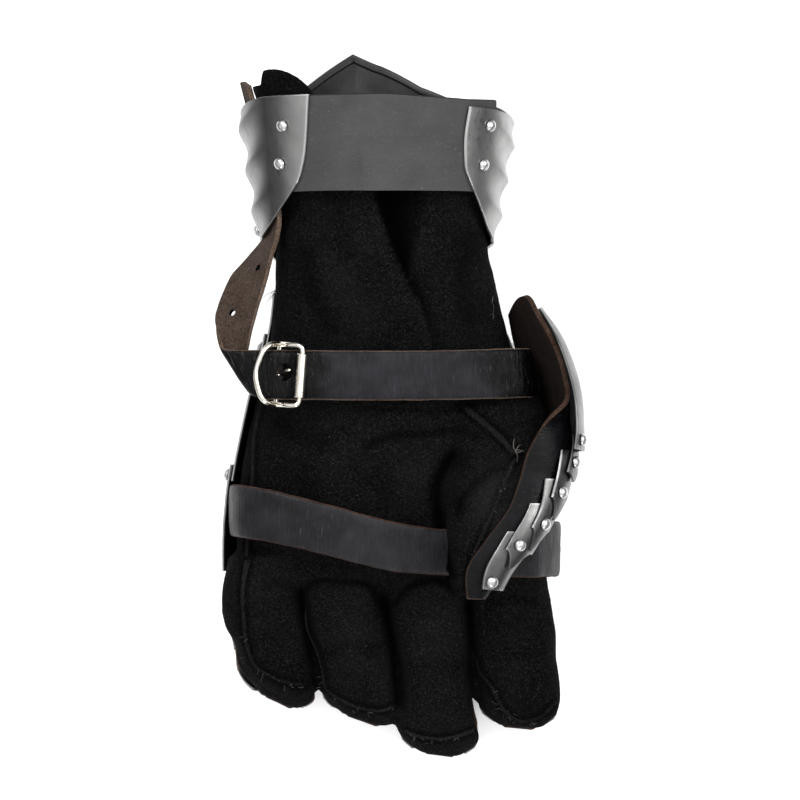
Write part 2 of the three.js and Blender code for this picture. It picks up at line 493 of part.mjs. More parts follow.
// ---------- glove ----------
function ring(y, cx, cz, hw, hh, n, count, shape) {
  return range(count).slice(0, count).map((t) => {
    const a = t * 2 * Math.PI;
    const p = V(cx + hw * sgnpow(Math.cos(a), 2 / n), y, cz + hh * sgnpow(Math.sin(a), 2 / n));
    if (shape) shape(p, a / deg);
    return p;
  });
}
const mouthRim = (p, angDeg) => { const r = at(MOUTH_RIM, "ang", angDeg, true); return p.set(p.x - r.out, r.y, p.z); };
// How far the glove must stay inside the back-of-hand plates at y.
const cover = (y) => (y > 70 ? null : y > 36 ? 7.7 : y > 20 ? 5.8 : y > -26 ? 4.0 : y > -56 ? 3.0 : y > -82 ? 7.0 : null);
function keptInside(p, inset) {
  const c = cover(p.y);
  if (c === null) return p;
  const s = at(SHELL, "y", p.y);
  if (p.z > Math.min(s.zl, s.zr) + 12) return p;
  const r = (Math.abs((p.x - s.cx) / (s.a - c - inset)) ** SHELL_N + Math.abs((p.z - s.cz) / (s.b - c - inset)) ** SHELL_N) ** (1 / SHELL_N);
  const fade = smooth((Math.min(s.zl, s.zr) + 12 - p.z) / 8);
  const k = r > 1 ? lerp(1, 1 / r, fade) : 1;
  return V(s.cx + (p.x - s.cx) * k, p.y, s.cz + (p.z - s.cz) * k);
}
function bodyLoft(inset) {
  const ys = [127, 104, 80, 60, 40, 20, -5, -30, -50, -64, -76];
  const rings = ys.map((y, k) => {
    const b = at(BODY, "y", y);
    return ring(y, (b.xl + b.xr) / 2, (b.zb + b.zt) / 2, (b.xr - b.xl) / 2 - inset, (b.zt - b.zb) / 2 - inset, 2.6, 30, k === 0 ? mouthRim : null).map((p) => keptInside(p, inset));
  });
  if (inset) {
    rings.unshift(rings[0].map((p) => V(p.x, p.y + 6, p.z)));
    rings.pop();
  }
  return loft(rings);
}
function digitLoft(table, inset, count = 12) {
  const n = table.length, ks = range(n);
  const rings = ks.map((k) => {
    const d = along(table, k), tilt = d.tilt ?? 0;
    return ring(d.y, d.cx, d.cz, Math.max(0.8, d.hw - inset), Math.max(0.8, d.hh - inset), 2.5, count)
      .map((p) => (table === THUMB ? p : keptInside(p, inset)))
      .map((p) => p.setY(p.y + tilt * (p.x - d.cx)));
  });
  const last = table[n - 1];
  const tip = (share, back) => ring(last.y - back, last.cx, last.cz, Math.max(0.6, last.hw * share - inset * share), Math.max(0.6, (last.hh - inset) * share), 2.2, count)
    .map((p) => p.setY(p.y + (last.tilt ?? 0) * (p.x - last.cx)));
  if (inset) rings.push(tip(0.6, 0.6));
  else rings.push(tip(0.86, 1.3), tip(0.55, 2.5));
  return loft(rings);
}
let outer = solid(bodyLoft(0)), hollow = solid(bodyLoft(SUEDE));
for (const t of [...Object.values(FINGERS), THUMB]) {
  outer = outer.add(solid(digitLoft(t, 0)));
  hollow = hollow.add(solid(digitLoft(t, SUEDE)));
}
add("glove", geometryOf(outer.subtract(hollow)), SUEDE_MAT);

// ---------- finger strips and lames ----------
const FINGER_START = -65;
const STRIP_T = 1.5, LAME_T = 1.0;
function fingerPath(name, v) {
  const t = FINGERS[name], y = lerp(FINGER_START, FINGER_TIPS[name], v);
  const d = at(t, "y", Math.max(y, t[t.length - 1].y));
  const end = clamp01((y - FINGER_TIPS[name]) / 10); // rounds the strip's end
  const w0 = Math.min(d.hw + 0.6, lerp(14.2, 16.2, smooth((-78 - y) / 30)));
  return { x: d.cx, y, w0, w: w0 * Math.sqrt(1 - (1 - end) ** 2 * 0.8), tilt: d.tilt };
}
// Height under the finger at x: inside the knuckle plate at first, then its own shallow trough.
function fingerZ(q, x) {
  const s = at(SHELL, "y", Math.max(q.y, -70));
  const own = FINGER_STRIP_Z + FINGER_RISE * ((x - q.x) / q.w0) ** 2;
  const inset = STEEL + LAME_T + 1.6;
  const inner = s.cz - (s.b - inset) * Math.max(0.05, 1 - Math.abs((x - s.cx) / (s.a - inset)) ** SHELL_N) ** (1 / SHELL_N);
  return lerp(Math.max(own, inner), own, smooth((-69 - q.y) / 24));
}
for (const name of Object.keys(FINGERS)) {
  const under = (u, v) => { const q = fingerPath(name, v), x = q.x + (u * 2 - 1) * q.w; return V(x, q.y + q.tilt * (x - q.x), fingerZ(q, x)); };
  add(`${name}_strip`, plate(under, range(6), [0, 0.12, 0.28, 0.6, 0.86, 0.94, 0.985, 1], -STRIP_T, -1), STRIP_MAT);
  for (let k = 0; k < LAMES_PER_FINGER; k++) {
    const v0 = 0.0 + k * 0.325, v1 = Math.min(v0 + 0.375, 0.985);
    const f = (u, w) => {
      const v = lerp(v0, v1, w), e = 2e-3, uu = lerp(0.03, 0.97, u), p = under(uu, v);
      const n = under(uu + e, v).sub(under(uu - e, v)).cross(under(uu, v + e).sub(under(uu, v - e))).normalize();
      if (n.z > 0) n.negate();
      return p.addScaledVector(n, GAP + 0.1 + LAME_T + 1.7 * w);
    };
    add(`${name}_lame_${k + 1}`, plate(f, range(6), range(k === 0 ? 4 : 2), LAME_T, -1), STEEL_MAT);
  }
}

// ---------- thumb ----------
const arc = (r, u, lift = 0) => {
  const A = V(r.x1, r.y1, r.z1), M = V(r.xm, r.ym, r.zm), B = V(r.x2, r.y2, r.z2);
  const p = A.multiplyScalar((u - 0.5) * (u - 1) * 2).addScaledVector(M, 4 * u * (1 - u)).addScaledVector(B, 2 * u * (u - 0.5));
  return p;
};
const stripSurface = (u, v) => arc(along(THUMB_STRIP, v), u);
const lifted = (f, lift) => (u, v) => {
  const e = 2e-3, p = f(u, v);
  const n = f(Math.min(1, u + e), v).sub(f(Math.max(0, u - e), v)).cross(f(u, Math.min(1, v + e)).sub(f(u, Math.max(0, v - e)))).normalize();
  if (n.x < 0) n.multiplyScalar(-1);
  return p.addScaledVector(n, lift);
};
const stripFlip = outward({ fn: stripSurface, x: 68, y: -19 }, V(42, -19, 60));
// Outline of a lame's free edge: a point close to its palm-side corner.
const lameTip = (u) => (u < LAME_TIP_AT ? (u / LAME_TIP_AT) ** 1.6 : Math.exp(-(((u - LAME_TIP_AT) / 0.1) ** 2)));
const thumbSurfaces = { thumb_plate: (u, v) => arc(along(THUMB_PLATE, v), u) };
for (const r of THUMB_LAMES) {
  thumbSurfaces[r.name] = (u, w) => {
    const k = w * (1 + r.tip * lameTip(u)), v = lerp(r.v0, r.v1, k), uu = lerp(lerp(r.u0, r.u1, w), 0.98, u);
    return lifted(stripSurface, lerp(r.lift0, r.lift1, k))(uu, v);
  };
}
const thumbHoles = THUMB_RIVETS.map((r) => {
  const f = find(thumbSurfaces[r.on], r.x, r.y, 1);
  if (f.n.x < 0) f.n.multiplyScalar(-1);
  return { on: r.on, p: f.p, n: f.n };
});
add("thumb_strip", plate(stripSurface, range(6), range(16), LEATHER, stripFlip), STRIP_MAT);
const tpFlip = outward({ fn: thumbSurfaces.thumb_plate, x: 76, y: 4 }, V(50, 4, 60));
add("thumb_plate", plate(thumbSurfaces.thumb_plate, range(6), range(7), STEEL, tpFlip), STEEL_MAT);
for (const r of THUMB_LAMES) {
  const f = thumbSurfaces[r.name];
  add(r.name, plate(f, [0, 0.1, LAME_TIP_AT, 0.3, 0.42, 0.6, 0.8, 1], range(3), STEEL * 0.9, stripFlip), STEEL_MAT);
}
thumbHoles.forEach((h, i) => add(`thumb_rivet_${i + 1}`, stud(h.p, h.n), RIVET_MAT));

// ---------- straps ----------
const ribbon = (table) => (u, v) => { const r = along(table, v); return V(lerp(r.xa, r.xb, u), lerp(r.ya, r.yb, u), lerp(r.za, r.zb, u)); };
const wristStrap = ribbon(WRIST_STRAP), palmStrap = ribbon(PALM_STRAP);
const strapFlip = outward({ fn: (u, v) => wristStrap(u, lerp(0, 0.4, v)), x: 0, y: 13 }, V(0, 13, 20));
const strapHoles = STRAP_HOLES.map((h, i) => {
  const part = i === 0 ? (u, v) => wristStrap(u, lerp(0.3, 0.5, v)) : (u, v) => wristStrap(u, lerp(0.6, 0.9, v));
  const f = find(part, h.x, h.y, 1);
  return { p: f.p, n: f.n, r: h.r, length: 9, sides: 9 };
});
add("wrist_strap", bored(plate(wristStrap, range(2), range(42), LEATHER, strapFlip), strapHoles), STRAP_MAT);
const palmFlip = outward({ fn: (u, v) => palmStrap(u, lerp(0.3, 0.7, v)), x: 0, y: -58 }, V(0, -58, 20));
add("palm_strap", plate(palmStrap, range(2), range(20), LEATHER, palmFlip), STRAP_MAT);

{
  const e = 2e-3, u = 0.5, v = 0.955, p = palmStrap(u, v);
  const n = palmStrap(u + e, v).sub(palmStrap(u - e, v)).cross(palmStrap(u, v + e).sub(palmStrap(u, v - e))).normalize();
  if (n.x < 0) n.negate();
  add("palm_strap_rivet", stud(p, n), RIVET_MAT);
}

// ---------- buckle ----------
const B = BUCKLE;
function tube(points, r, sides, loop = false) {
  const curve = new THREE.CatmullRomCurve3(points, loop, "centripetal");
  const circle = new THREE.Shape(range(sides).slice(0, sides).map((t) => new THREE.Vector2(r * Math.cos(2 * Math.PI * t), r * Math.sin(2 * Math.PI * t))));
  return new THREE.ExtrudeGeometry(circle, { extrudePath: curve, steps: loop ? 28 : (points.length - 1) * 2, bevelEnabled: false });
}
const dip = (dx) => B.rise * Math.sin(clamp01(Math.abs(dx) / 7.5) * Math.PI / 2);
const frameLine = [
  [B.toRoller, -B.half + 1.9], [B.toRoller, 0], [B.toRoller, B.half - 1.9], [B.toRoller - 1.6, B.half - 0.1], [3.5, B.half], [0, B.half], [-4, B.half - 0.5],
  [-7.2, B.half - 4.0], [-B.toArc, 0], [-7.2, -B.half + 4.0], [-4, -B.half + 0.5], [0, -B.half], [3.5, -B.half], [B.toRoller - 1.6, -B.half + 0.1],
].map(([x, y]) => V(x, y, dip(x)));
const frameLoop = solid(tube(frameLine, WIRE_R, 7, true));
const bar = solid(new THREE.CylinderGeometry(WIRE_R, WIRE_R, 2 * B.half, 8));
const chapeLine = CHAPE.map((r) => V(r.dx, 0, r.dz));
const chapeCurve = new THREE.CatmullRomCurve3(chapeLine, false, "centripetal");
const chapeFace = (u, v) => {
  const p = chapeCurve.getPoint(v).setY(lerp(CHAPE_WIDTH / 2, -CHAPE_WIDTH / 2, u));
  p.x += CHAPE_SKEW * p.y * clamp01(1 - 3 * v);
  return p;
};
const chapeSheet = solid(plate(chapeFace, range(2), range(18), CHAPE_LEATHER, -1));
const chapeSlot = solid(new THREE.BoxGeometry(8.6, 3.2, 7).translate(0.6, 0.6, 0));
const buckle = new THREE.Group();
buckle.position.set(B.x, B.y, B.z);
buckle.rotation.z = -B.tilt * deg;
root.add(buckle);
function addTo(group, name, geometry, material) {
  const mesh = new THREE.Mesh(geometry, new THREE.MeshStandardMaterial(material));
  mesh.name = name;
  group.add(mesh);
}
addTo(buckle, "buckle_chape", geometryOf(chapeSheet.subtract(chapeSlot)), STRIP_MAT);
addTo(buckle, "buckle_frame", geometryOf(frameLoop.add(bar)), NICKEL_MAT);
const rollerLength = 2 * (B.half - 3.3);
const rollerProfile = [[WIRE_R + 0.3, -rollerLength / 2], [ROLLER_R, -rollerLength / 2], [ROLLER_R, rollerLength / 2], [WIRE_R + 0.3, rollerLength / 2], [WIRE_R + 0.3, -rollerLength / 2]].map(([x, y]) => new THREE.Vector2(x, y));
const roller = new THREE.LatheGeometry(rollerProfile, 14);
roller.translate(B.toRoller, 0, dip(B.toRoller));
addTo(buckle, "buckle_roller", roller, NICKEL_MAT);
// prong: wrapped round the middle bar and up through the hole of the strap
const prong = tube([[1.5, 0, -1.75], [-0.7, 0, -2.2], [-2.25, 0, -0.6], [-1.5, 0, 1.75], [0.6, 0, 2.6], [2.2, 0, 4.2], [3.4, 0, 6.4], [5.0, 0, 8.0]].map(([x, y, z]) => V(x, y + 0.6, z)), 0.75, 6);
addTo(buckle, "buckle_prong", prong, NICKEL_MAT);

// ---------- frame: origin at the middle of the underside of the box round everything ----------
root.updateMatrixWorld(true);
const size = new THREE.Box3().setFromObject(root, true);
root.position.set(-(size.min.x + size.max.x) / 2, -(size.min.y + size.max.y) / 2, 0);

export default root;
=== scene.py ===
"""Armoured gauntlet for a left hand: the detailed visual model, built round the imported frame.
All tables are in millimetres, in the part's own frame before its origin is moved (see SHIFT)."""
import math
import bpy
import bmesh
import numpy as np
from mathutils import Vector, Matrix, noise
from mathutils.bvhtree import BVHTree


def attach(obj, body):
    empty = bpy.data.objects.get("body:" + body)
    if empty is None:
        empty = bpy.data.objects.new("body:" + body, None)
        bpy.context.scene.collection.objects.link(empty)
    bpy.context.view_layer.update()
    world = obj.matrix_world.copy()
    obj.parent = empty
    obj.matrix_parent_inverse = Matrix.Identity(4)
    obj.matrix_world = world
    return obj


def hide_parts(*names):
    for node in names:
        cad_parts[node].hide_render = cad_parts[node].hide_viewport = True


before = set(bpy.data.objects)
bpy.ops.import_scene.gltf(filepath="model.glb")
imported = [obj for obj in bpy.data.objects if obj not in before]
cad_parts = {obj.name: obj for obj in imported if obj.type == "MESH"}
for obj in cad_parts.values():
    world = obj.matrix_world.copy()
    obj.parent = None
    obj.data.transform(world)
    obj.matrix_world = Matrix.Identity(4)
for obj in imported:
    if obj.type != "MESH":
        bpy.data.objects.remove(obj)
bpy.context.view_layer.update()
MM = 0.001


def rows(names, data):
    cols = names.split(" ")
    return [dict(zip(cols, r)) for r in data]


# ---------------------------------------------------------------- tables
CUFF = rows("y a b cx cz", [
  [48, 47.3, 28.4, -9.8, 48.4],
  [69, 48.9, 31.4, -9.8, 49.0],
  [90, 52.0, 37.0, -9.5, 49.6],
  [124, 57.8, 46.0, -9.0, 50.4],
  [150, 61.6, 51.6, -9.0, 52.9],
])
RIM = rows("ang y", [
  [100, 131.2], [122, 130.6], [150, 129.4], [180, 124.3], [205, 123.2], [226, 125.8],
  [240, 134.0], [262, 149.0], [285, 135.0], [300, 129.4], [330, 126.0], [360, 119.8], [385, 123.6], [412, 126.0], [440, 126.5],
])
CUFF_FOOT = rows("ang y", [
  [100, 69.3], [185, 69.3], [215, 60.0], [262, 51.0], [310, 60.0], [355, 68.0], [440, 68.0],
])
WING_L = rows("y x", [
  [69.3, -58.8], [82.7, -50.4], [92.5, -44.1], [97.4, -42.0], [107, -40.2], [131, -38.6],
])
WING_R = rows("y x", [
  [68, 39.4], [81.4, 35.0], [96.7, 28.9], [101, 27.8], [113.5, 27.7], [127, 29.8],
])
SHELL = rows("y cx a cz b zl zr", [
  [66, -8.4, 48.2, 48.0, 27.2, 44, 35],
  [45, -7.6, 49.6, 46.5, 29.0, 43, 34],
  [28, -5.2, 54.4, 43.0, 31.0, 42, 33],
  [0, -4.3, 62.3, 40.0, 34.4, 42, 33],
  [-29, -5.2, 67.3, 38.0, 35.6, 40, 31],
  [-50, -5.2, 69.4, 36.0, 35.6, 36, 28],
  [-70, -5.4, 69.6, 34.0, 33.6, 31, 25],
])
PLATES = rows("name y0 y1 layer", [
  ["wrist_lame_1", 42, 64, 3],
  ["wrist_lame_2", 25, 48, 2],
  ["hand_plate", -31, 31, 1],
  ["knuckle_plate", -69, -24, 0],
])
KNUCKLES = rows("x y h r", [
  [-51, -54, 4.9, 15], [-21, -56, 1.0, 14], [12, -56, 1.0, 14], [40, -54, 4.9, 15],
])
BODY = rows("y xl xr zb zt", [
  [127, -58.0, 41.0, 14.0, 83.0],
  [108, -54.0, 38.4, 17.0, 80.0],
  [86, -50.4, 35.8, 22.0, 76.5],
  [66, -51.4, 36.6, 27.5, 75.0],
  [45, -52.8, 41.4, 24.5, 73.5],
  [26, -54.6, 46.0, 18.5, 72.0],
  [14, -56.4, 49.6, 13.5, 71.0],
  [4, -59.8, 53.0, 10.8, 70.0],
  [-4, -61.6, 57.0, 9.4, 69.6],
  [-28, -67.2, 57.5, 6.6, 67.0],
  [-52, -68.8, 59.0, 7.5, 60.2],
  [-68, -68.4, 58.4, 14.3, 53.0],
  [-78, -66.0, 56.0, 16.4, 46.0],
])
THUMB = rows("y cx hw cz hh", [
  [10, 37.0, 17.0, 47, 19], [4.2, 38.0, 16.6, 50, 19.4], [-1.5, 40.2, 19.2, 52.5, 19.8], [-8, 41.6, 21.0, 55, 20], [-19, 42.6, 22.0, 60.5, 19.5],
  [-31, 41.0, 21.6, 66, 17.5], [-43, 37.4, 17.8, 73, 13.6], [-56, 33.8, 14.0, 77, 10.8], [-68, 30.4, 10.2, 78.2, 8.4], [-77, 28.0, 6.0, 78.0, 5.0],
])
THUMB_STRIP = rows("x1 y1 z1 xm ym zm x2 y2 z2", [
  [57.2, 42.0, 66, 52.6, 47.0, 52, 46.8, 39.2, 39],
  [65.4, 27.7, 72, 59.0, 28.0, 53, 50.0, 25.0, 36],
  [70.2, 13.0, 76, 65.5, 12.0, 55, 57.5, 10.0, 37],
  [70.8, 2.0, 80, 70.0, 0.0, 60, 62.0, -2.0, 40],
  [61.2, -7.0, 83.5, 71.8, -9.0, 68, 65.0, -12.0, 44],
  [54.2, -18.6, 86, 71.4, -19.0, 73, 64.5, -21.0, 48],
  [50.4, -31.0, 87.4, 68.0, -31.0, 77, 61.0, -32.0, 53],
  [45.6, -43.0, 88.8, 62.6, -43.0, 80.5, 55.5, -44.0, 57],
  [36.0, -56.0, 89.6, 53.6, -56.0, 83.5, 48.0, -57.0, 62],
  [28.4, -68.0, 89.2, 43.6, -68.0, 84.0, 39.4, -68.0, 67],
  [28.4, -80.5, 86.6, 36.0, -80.5, 82, 33.4, -79.0, 72],
])
THUMB_PLATE = rows("x1 y1 z1 xm ym zm x2 y2 z2", [
  [58.8, 41.6, 61, 59.4, 42.0, 54, 56.4, 40.5, 47],
  [66.2, 29.0, 75, 67.6, 30.0, 59, 60.0, 28.0, 43],
  [71.0, 16.0, 80, 73.6, 16.0, 61, 65.5, 15.0, 43],
  [73.8, 4.0, 83.5, 76.4, 4.0, 64, 69.4, 3.0, 45],
  [74.6, -8.0, 86, 77.3, -8.0, 67, 71.4, -8.0, 48],
  [73.8, -17.5, 86.5, 77.6, -18.5, 69, 72.4, -18.5, 51],
])
THUMB_LAMES = rows("name v0 v1 u0 u1 lift0 lift1 tip", [
  ["thumb_lame_1", 0.430, 0.567, 0.430, 0.362, 1.8, 4.8, 0.2],
  ["thumb_lame_2", 0.494, 0.655, 0.284, 0.296, 1.6, 4.4, 0.4],
  ["thumb_lame_3", 0.593, 0.752, 0.198, 0.284, 1.6, 4.4, 0.4],
  ["thumb_lame_4", 0.679, 0.824, 0.144, 0.200, 1.6, 4.4, 0.4],
  ["thumb_lame_5", 0.770, 0.955, 0.115, 0.180, 1.6, 4.2, 0],
])
WRIST_STRAP = rows("xa ya za xb yb zb", [
  [55.2, 24.4, 50.0, 58.8, 4.6, 46.0],
  [55.0, 24.4, 62.0, 57.6, 4.6, 60.0],
  [50.4, 24.4, 73.2, 52.6, 4.4, 72.4],
  [40.0, 24.0, 77.2, 41.0, 4.0, 76.8],
  [18.0, 23.4, 78.8, 18.0, 3.4, 78.6],
  [-8.0, 23.2, 79.2, -8.0, 3.2, 79.0],
  [-34.0, 23.4, 80.8, -34.0, 3.4, 80.8],
  [-43.0, 23.5, 81.8, -43.0, 3.5, 81.8],
  [-51.0, 23.5, 82.8, -51.0, 3.5, 82.8],
  [-59.0, 23.5, 82.0, -57.0, 3.6, 82.0],
  [-70.0, 23.6, 82.0, -61.0, 4.2, 81.0],
  [-75.4, 24.2, 80.4, -64.0, 6.0, 78.6],
  [-76.9, 27.4, 76.4, -65.4, 11.0, 76.2],
  [-77.2, 31.5, 71.6, -64.0, 21.0, 76.6],
  [-76.0, 39.0, 66.0, -60.8, 35.0, 77.6],
  [-70.4, 52.5, 60.0, -56.2, 49.5, 75.0],
  [-62.8, 61.0, 56.6, -53.2, 61.0, 72.6],
  [-54.5, 72.0, 54.0, -49.9, 72.0, 70.2],
  [-55.2, 84.0, 53.0, -49.4, 84.0, 67.8],
  [-58.2, 103.0, 52.0, -53.8, 103.0, 67.2],
  [-61.0, 120.0, 51.0, -58.0, 120.0, 67.2],
  [-64.8, 137.0, 50.6, -62.0, 134.4, 67.4],
])
STRAP_HOLES = rows("x y r", [[-48.4, 14.6, 3.2], [-69.4, 39.1, 1.5], [-58.2, 57.8, 1.5]])
PALM_STRAP = rows("xa ya za xb yb zb", [
  [-71.4, -33.0, 34.0, -71.8, -54.0, 31.0],
  [-71.6, -33.0, 46.0, -71.6, -54.0, 42.0],
  [-67.0, -33.4, 60.0, -67.4, -54.6, 57.0],
  [-52.0, -36.0, 69.4, -52.6, -57.0, 66.6],
  [-30.0, -41.6, 71.8, -31.0, -62.0, 68.0],
  [-5.0, -48.4, 71.6, -6.0, -68.4, 66.4],
  [19.0, -52.0, 65.2, 19.0, -70.6, 61.0],
  [40.0, -51.0, 61.4, 40.0, -71.2, 58.0],
  [55.0, -49.4, 56.0, 55.0, -71.4, 53.6],
  [63.4, -48.6, 45.0, 62.6, -71.2, 43.0],
  [67.6, -48.6, 33.0, 67.0, -71.0, 31.0],
  [67.2, -48.8, 23.0, 66.6, -70.8, 22.0],
  [64.0, -49.0, 13.5, 63.2, -70.4, 13.0],
])
CUFF_RIVETS = rows("x y", [[-49.5, 118.0], [-50.1, 102.2], [37.6, 118.0], [35.1, 101.8]])
THUMB_RIVETS = rows("on x y", [
  ["thumb_plate", 76.2, -13.6], ["thumb_lame_1", 73.4, -23.1], ["thumb_lame_2", 67.9, -35.7],
  ["thumb_lame_3", 60.6, -49.0], ["thumb_lame_4", 50.2, -57.7], ["thumb_lame_5", 38.5, -73.3],
])
CHAPE = rows("dx dz", [
  [-6.9, -38], [-7.5, -28], [-8.6, -18], [-8.2, -9.6], [-5.4, -4.6], [-2.6, -2.95], [0, -2.9], [2.05, -2.05], [2.9, 0], [2.05, 2.05], [0, 2.9], [-3.2, 2.5], [-6.4, 0.6],
])
SIDE_STUDS = rows("name on u v", [
  ["cuff_pivot_1", "cuff_plate", 0.2, 0.13], ["cuff_pivot_2", "cuff_plate", 0.81, 0.13],
  ["plate_rivet_1", "hand_plate", 0.06, 0.9], ["plate_rivet_2", "hand_plate", 0.94, 0.9],
  ["plate_rivet_3", "knuckle_plate", 0.05, 0.9], ["plate_rivet_4", "knuckle_plate", 0.95, 0.9],
])
MOUTH_RIM = rows("ang y out", [
  [0, 126, 0], [60, 126.4, 0], [112, 127, 0], [120.5, 131.9, 0], [124, 135.2, 0], [130, 138.2, 0.3], [140, 141.2, 0.8], [151, 142.4, 1.2], [158, 142.0, 1.6],
  [165, 139.6, 2.0], [172, 135.2, 3.0], [182, 133.7, 4.4], [194, 131.0, 3.0], [210, 127.0, 0.6], [240, 126, 0], [360, 126, 0],
])
FINGERS = {
  "little": rows("y cx hw cz hh tilt", [
    [-62, -55.6, 14.2, 35, 19.4, 0], [-80, -57.4, 15.6, 32, 18.4, 0], [-92, -56.8, 14.6, 30, 17.4, -0.06], [-104, -53.6, 15.4, 28.4, 16, -0.25],
    [-113, -52.6, 16.2, 26, 13.4, -0.42], [-118.6, -52.2, 14.4, 24, 10, -0.45], [-121.8, -51.4, 10.0, 22, 6.6, -0.45],
  ]),
  "ring": rows("y cx hw cz hh tilt", [
    [-62, -24.6, 15.4, 35, 21, 0], [-80, -25.0, 16.6, 33, 20, 0], [-92, -22.8, 17.2, 31, 18.6, -0.05], [-106, -19.6, 16.8, 28.6, 16.8, -0.16],
    [-117, -17.4, 18.0, 26.4, 13.8, -0.3], [-125.4, -16.8, 16.6, 24, 10.6, -0.34], [-129.6, -16.0, 12.0, 22, 7, -0.34],
  ]),
  "middle": rows("y cx hw cz hh tilt", [
    [-62, 11.0, 15.2, 35, 21, 0], [-86, 12.4, 16.2, 32, 19, 0], [-100, 13.4, 15.0, 30, 17.6, 0], [-114, 14.8, 13.8, 28.4, 16.4, 0],
    [-128, 16.0, 14.6, 26.4, 14, -0.08], [-137, 16.2, 17.4, 24.4, 11.2, -0.12], [-142, 16.4, 14.4, 23, 8.6, -0.12], [-144.4, 16.6, 10.6, 22, 6, -0.12],
  ]),
  "index": rows("y cx hw cz hh tilt", [
    [-62, 43.2, 14.8, 35, 19.4, 0], [-88, 46.2, 16.0, 31, 18.0, 0], [-104, 48.6, 16.8, 28.8, 16, 0],
    [-118, 49.4, 18.2, 26.4, 13.6, -0.06], [-127, 49.8, 16.6, 24, 10.4, -0.09], [-132.6, 50.0, 11.6, 22, 6.6, -0.09],
  ]),
}
BAND = dict(y0= 90.8, y1Left= 130.4, y1Mid= 131.2, y1Right= 128.6, x0= -52.6, x1= 40.6)
BUCKLE = dict(x= -51.0, y= 13.8, z= 77.6, toRoller= 9.4, toArc= 9.4, half= 12.6, rise= 7.4, tilt= 4)
FINGER_TIPS = dict(little= -124.8, ring= -132.6, middle= -147.0, index= -135.6)
STEEL = 1.2
HEM = 1.3
HEM_WIDTH = 3.0
GAP = 0.35
SUEDE = 2.0
LEATHER = 2.0
STRAP_WIDTH = 20.0
RIVET_R = 2.6
RIVET_H = 1.9
SHANK_R = 1.1
HOLE_R = 1.5
WIRE_R = 1.15
ROLLER_R = 1.9
FLUTE = 2.3
KEEL = 2.0
SECTION_N = 2.25
SHELL_N = 3
KEEL_ANGLE = 262
LAME_TIP_AT = 0.2
CHAPE_WIDTH = 13
CHAPE_SKEW = 0.2
CHAPE_LEATHER = 1.4
LAMES_PER_FINGER = 3
FINGER_STRIP_Z = 7.9
FINGER_RISE = 3.4

# origin of the row frame: the middle of the underside of the box round everything
SHIFT = np.array([-0.6343, -0.8345, 0.0])

# ---------------------------------------------------------------- numbers


def columns(table):
    return {c: np.array([r[c] for r in table], float) for c in table[0] if not isinstance(table[0][c], str)}


def at(table, key, value, sharp=False):
    """Smooth interpolation of a table by its key column, for an array of values."""
    t = columns(table)
    if t[key][0] > t[key][-1]:
        t = {c: v[::-1] for c, v in t.items()}
    k = t[key]
    v = np.clip(np.asarray(value, float), k[0], k[-1])
    i = np.clip(np.searchsorted(k, v, side="right") - 1, 0, len(k) - 2)
    h = k[i + 1] - k[i]
    s = (v - k[i]) / h
    out = {}
    for c, col in t.items():
        if sharp:
            out[c] = col[i] + (col[i + 1] - col[i]) * s
            continue
        m = np.empty_like(col)
        m[1:-1] = (col[2:] - col[:-2]) / (k[2:] - k[:-2])
        m[0] = (col[1] - col[0]) / (k[1] - k[0])
        m[-1] = (col[-1] - col[-2]) / (k[-1] - k[-2])
        s2, s3 = s * s, s * s * s
        out[c] = col[i] * (2 * s3 - 3 * s2 + 1) + m[i] * h * (s3 - 2 * s2 + s) + col[i + 1] * (3 * s2 - 2 * s3) + m[i + 1] * h * (s3 - s2)
    return out


def along(table, v):
    keyed = [dict(r, k_=i / (len(table) - 1)) for i, r in enumerate(table)]
    return at(keyed, "k_", v)


def lerp(a, b, t):
    return a + (b - a) * t


def smooth(t):
    t = np.clip(t, 0, 1)
    return t * t * (3 - 2 * t)


def sgnpow(x, p):
    return np.sign(x) * np.abs(x) ** p


def vec(x, y, z):
    x, y, z = np.broadcast_arrays(np.asarray(x, float), np.asarray(y, float), np.asarray(z, float))
    return np.stack([x, y, z], -1)


def unit(a):
    return a / np.maximum(np.linalg.norm(a, axis=-1, keepdims=True), 1e-12)


def fbm(points, scale, octaves=3, seed=0.0):
    """Smooth noise at points (n, 3) in mm, features about scale mm across, roughly -1 to 1."""
    out = np.zeros(len(points))
    amp = 1.0
    for o in range(octaves):
        q = points / scale * (2.0 ** o) + seed * 7.31 + o * 13.7
        out += amp * np.array([noise.noise(Vector(p)) for p in q])
        amp *= 0.5
    return out


# ---------------------------------------------------------------- surfaces (as in the part)


def cuff_section(y, ang, grow):
    s = at(CUFF, "y", y)
    c, z = np.cos(np.radians(ang)), np.sin(np.radians(ang))
    return vec(s["cx"] + (s["a"] + grow) * sgnpow(c, 2 / SECTION_N), y, s["cz"] + (s["b"] + grow) * sgnpow(z, 2 / SECTION_N))


def wing_angle(x, y, left):
    s = at(CUFF, "y", y)
    c = np.minimum(0.9999, np.abs(x - s["cx"]) / s["a"])
    a = np.degrees(np.arccos(c ** (SECTION_N / 2)))
    return 180 - a if left else 360 + a


def rim_y(ang):
    return np.where((ang > 226) & (ang < 300), at(RIM, "ang", ang, True)["y"], at(RIM, "ang", ang)["y"])


